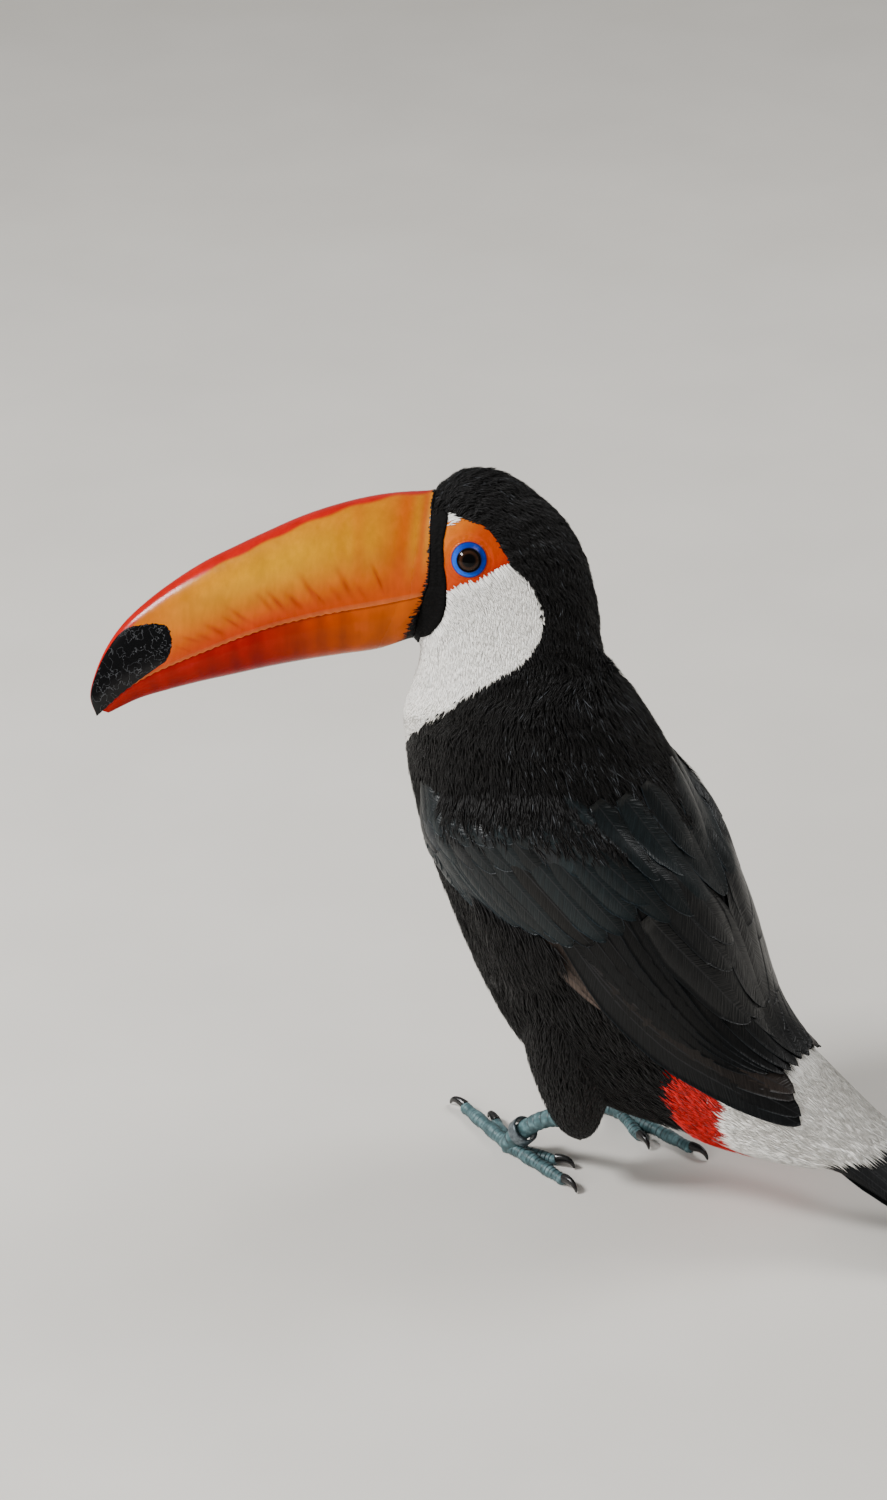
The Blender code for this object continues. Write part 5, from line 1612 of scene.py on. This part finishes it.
class ToucanMakeFeet(bpy.types.Operator):
    """Makes the scaled legs and toes, and the claws"""

    bl_idname = "toucan.make_feet"
    bl_label = "Feet"

    def execute(self, context):
        feet = context.scene.toucan_feet
        skin, horn = scute_material(), claw_material()

        def scaled(name, path, radii, columns, plates, rise, solid):
            """A bar of scaled skin in place of a solid."""
            rings, groove = bar(path, radii, columns, plates=plates, rise=rise)
            put_tube(name, rings, skin, "leg_skin", replaces=(solid,), fields={"groove": with_ends(groove, [0, 0])})

        for leg, places in LEGS.items():
            s = np.linspace(0, 1.1, 150)
            radii = np.interp(s, *LEG_RADII)
            scaled(f"leg_scutes_{leg}", leg_line(leg, s), radii, 32, s * 9.5 + 0.12 * np.sin(s * 23),
                   feet.plate_rise * 1.3, f"tarsus_{leg}")
            foot = np.array([*places["foot"], 0.0])
            for digit, tip in places["toes"].items():
                tip, point = (np.array([*at, 0.0]) for at in (tip, places["claws"][digit]))
                start, end, joints = TOES[digit]
                root = foot + unit(tip - foot) * TOE_START * 0.4
                s = np.linspace(0, 1, 120)
                thick = start + (end - start) * s
                radii = thick * (1 + 0.09 * np.cos(tau * joints * s) * smooth_step(s / 0.1))
                radii = radii * np.sqrt(np.clip(1 - ((s - 0.93) / 0.075).clip(0, 1) ** 2, 0.09, 1))
                path = root + (tip - root) * s[:, None]
                path[:, 2] = 0.86 * thick
                far = s * np.linalg.norm(tip - root)
                plates = far / feet.scute + 0.22 * np.sin(far * 0.55 + foot[0]) + 0.1 * np.sin(far * 1.3)
                scaled(f"toe_scutes_{leg}_{digit}", path, radii, 28, plates, feet.plate_rise, f"toe_{leg}_{digit}")
                s = np.linspace(0, 1, 36)
                path = tip + (point - tip) * (-0.12 + 1.12 * np.sin(s * pi / 2) ** 1.05)[:, None]
                path[:, 2] = 3.4 + 1.3 * np.sin(pi * np.clip(s * 1.1, 0, 1)) - 2.9 * s**2
                rings, _ = bar(path, CLAW_RADIUS * (1 - s) ** 0.8 + 0.22, 20, tall=1.15)
                put_tube(f"claw_horn_{leg}_{digit}", rings, horn, "claw_horn", replaces=(f"claw_{leg}_{digit}",))
        return {"FINISHED"}


class ToucanMakeRing(bpy.types.Operator):
    """Makes the plain band round the left leg"""

    bl_idname = "toucan.make_ring"
    bl_label = "Leg ring"

    def execute(self, context):
        centre = leg_line("left", RING_AT)
        along = unit(leg_line("left", RING_AT + 0.05) - leg_line("left", RING_AT - 0.05))
        side = unit(np.cross(along, UPWARDS))
        up = np.cross(side, along)
        turn = all_round(96)[:, None, None]
        k = all_round(24)
        # A rounded strip: radius + half-thickness * cos^0.35 outwards, and half-width * sin^0.35 along the leg.
        radius = (RING_RADIUS + RING_HALF_THICK * signed_power(np.cos(k), 0.35))[None, :, None]
        across = (RING_HALF_WIDTH * signed_power(np.sin(k), 0.35))[None, :, None]
        rings = centre + radius * (side * np.cos(turn) + up * np.sin(turn)) + along * across
        put_hoop("leg_band", rings, ring_material(), "ring", replaces=("leg_ring",))
        return {"FINISHED"}


# ---------------------------------------------------------------- stage

CAMERA_AT = np.array([1746.6, 825.1, 1187.1])
CAMERA_LOOKS_AT = np.array([0.0, -64.8, 188.4])
CAMERA_LENS, CAMERA_SENSOR = 116.16, 36.0
# The lamps' sizes in metres and places in mm; all are turned to the middle of the bird.
LAMPS = {"key": (0.42, (900, -1300, 1500)), "fill": (1.4, (1900, -100, 700)), "back": (0.8, (-1100, 500, 1500))}
LAMPS_LOOK_AT = (0, 0, 170)
FLOOR_HALF_WIDTH = 4  # metres


def aim(obj, at, target):
    """Put a lamp or the camera at a point and turn it to face another."""
    obj.location = to_row(at)
    obj.rotation_mode = "QUATERNION"
    obj.rotation_quaternion = Vector(to_row(target) - to_row(at)).to_track_quat("-Z", "Y")
    bpy.context.scene.collection.objects.link(obj)


class ToucanMakeStage(bpy.types.Operator):
    """Makes the floor, the soft studio lights and the camera"""

    bl_idname = "toucan.make_stage"
    bl_label = "Stage"

    def execute(self, context):
        stage = context.scene.toucan_stage
        mesh = bpy.data.meshes.new("floor")
        k = np.linspace(-FLOOR_HALF_WIDTH, FLOOR_HALF_WIDTH, 9)
        x, y = every(k, k)
        points = np.stack([x, y, np.zeros(x.shape)], axis=-1).reshape(-1, 3)
        mesh.from_pydata(points.tolist(), [], grid_faces(9, 9)[:, ::-1].tolist())
        mesh.materials.append(floor_material())
        floor = bpy.data.objects.new("floor", mesh)
        context.scene.collection.objects.link(floor)

        world = bpy.data.worlds.new("studio")
        world.use_nodes = True
        world.node_tree.nodes["Background"].inputs["Color"].default_value = linear("#F2F1EE")
        world.node_tree.nodes["Background"].inputs["Strength"].default_value = stage.surround
        context.scene.world = world
        for label, (size, at) in LAMPS.items():
            light = bpy.data.lights.new(label, "AREA")
            light.energy, light.size = getattr(stage, f"{label}_power"), size
            lamp = bpy.data.objects.new(label, light)
            lamp.visible_glossy = label != "fill"  # the fill light softens shadows and leaves no glare
            aim(lamp, at, LAMPS_LOOK_AT)
        camera = bpy.data.cameras.new("camera")
        camera.lens, camera.sensor_width = CAMERA_LENS, CAMERA_SENSOR
        camera.clip_start, camera.clip_end = 0.05, 30
        holder = bpy.data.objects.new("camera", camera)
        aim(holder, CAMERA_AT, CAMERA_LOOKS_AT)
        context.scene.camera = holder
        return {"FINISHED"}


class ToucanPanel(bpy.types.Panel):
    """Lists the toucan's parts in the sidebar"""

    bl_idname = "VIEW3D_PT_toucan"
    bl_label = "Toucan"
    bl_space_type = "VIEW_3D"
    bl_region_type = "UI"
    bl_category = "Toucan"

    def draw(self, context):
        for operator in OPERATORS:
            self.layout.operator(operator.bl_idname)


OPERATORS = (
    ToucanMakeStage, ToucanMakeSkin, ToucanMakeFace, ToucanMakeEyes, ToucanMakeBill, ToucanMakeCoat, ToucanMakeWings,
    ToucanMakeTail, ToucanMakeFeet, ToucanMakeRing,
)
GROUPS = {
    "toucan_plumage": ToucanPlumage, "toucan_face": ToucanFace, "toucan_bill": ToucanBill, "toucan_feet": ToucanFeet,
    "toucan_stage": ToucanStage,
}


def register():
    for cls in (*GROUPS.values(), *OPERATORS, ToucanPanel):
        bpy.utils.register_class(cls)
    for name, cls in GROUPS.items():
        setattr(bpy.types.Scene, name, PointerProperty(type=cls))


def unregister():
    for name in GROUPS:
        delattr(bpy.types.Scene, name)
    for cls in (ToucanPanel, *OPERATORS[::-1], *list(GROUPS.values())[::-1]):
        bpy.utils.unregister_class(cls)


def main():
    register()
    bpy.ops.toucan.make_stage()
    bpy.ops.toucan.make_skin()
    bpy.ops.toucan.make_face()
    bpy.ops.toucan.make_eyes()
    bpy.ops.toucan.make_bill()
    bpy.ops.toucan.make_coat()
    bpy.ops.toucan.make_wings()
    bpy.ops.toucan.make_tail()
    bpy.ops.toucan.make_feet()
    bpy.ops.toucan.make_ring()


if __name__ == "__main__":
    main()
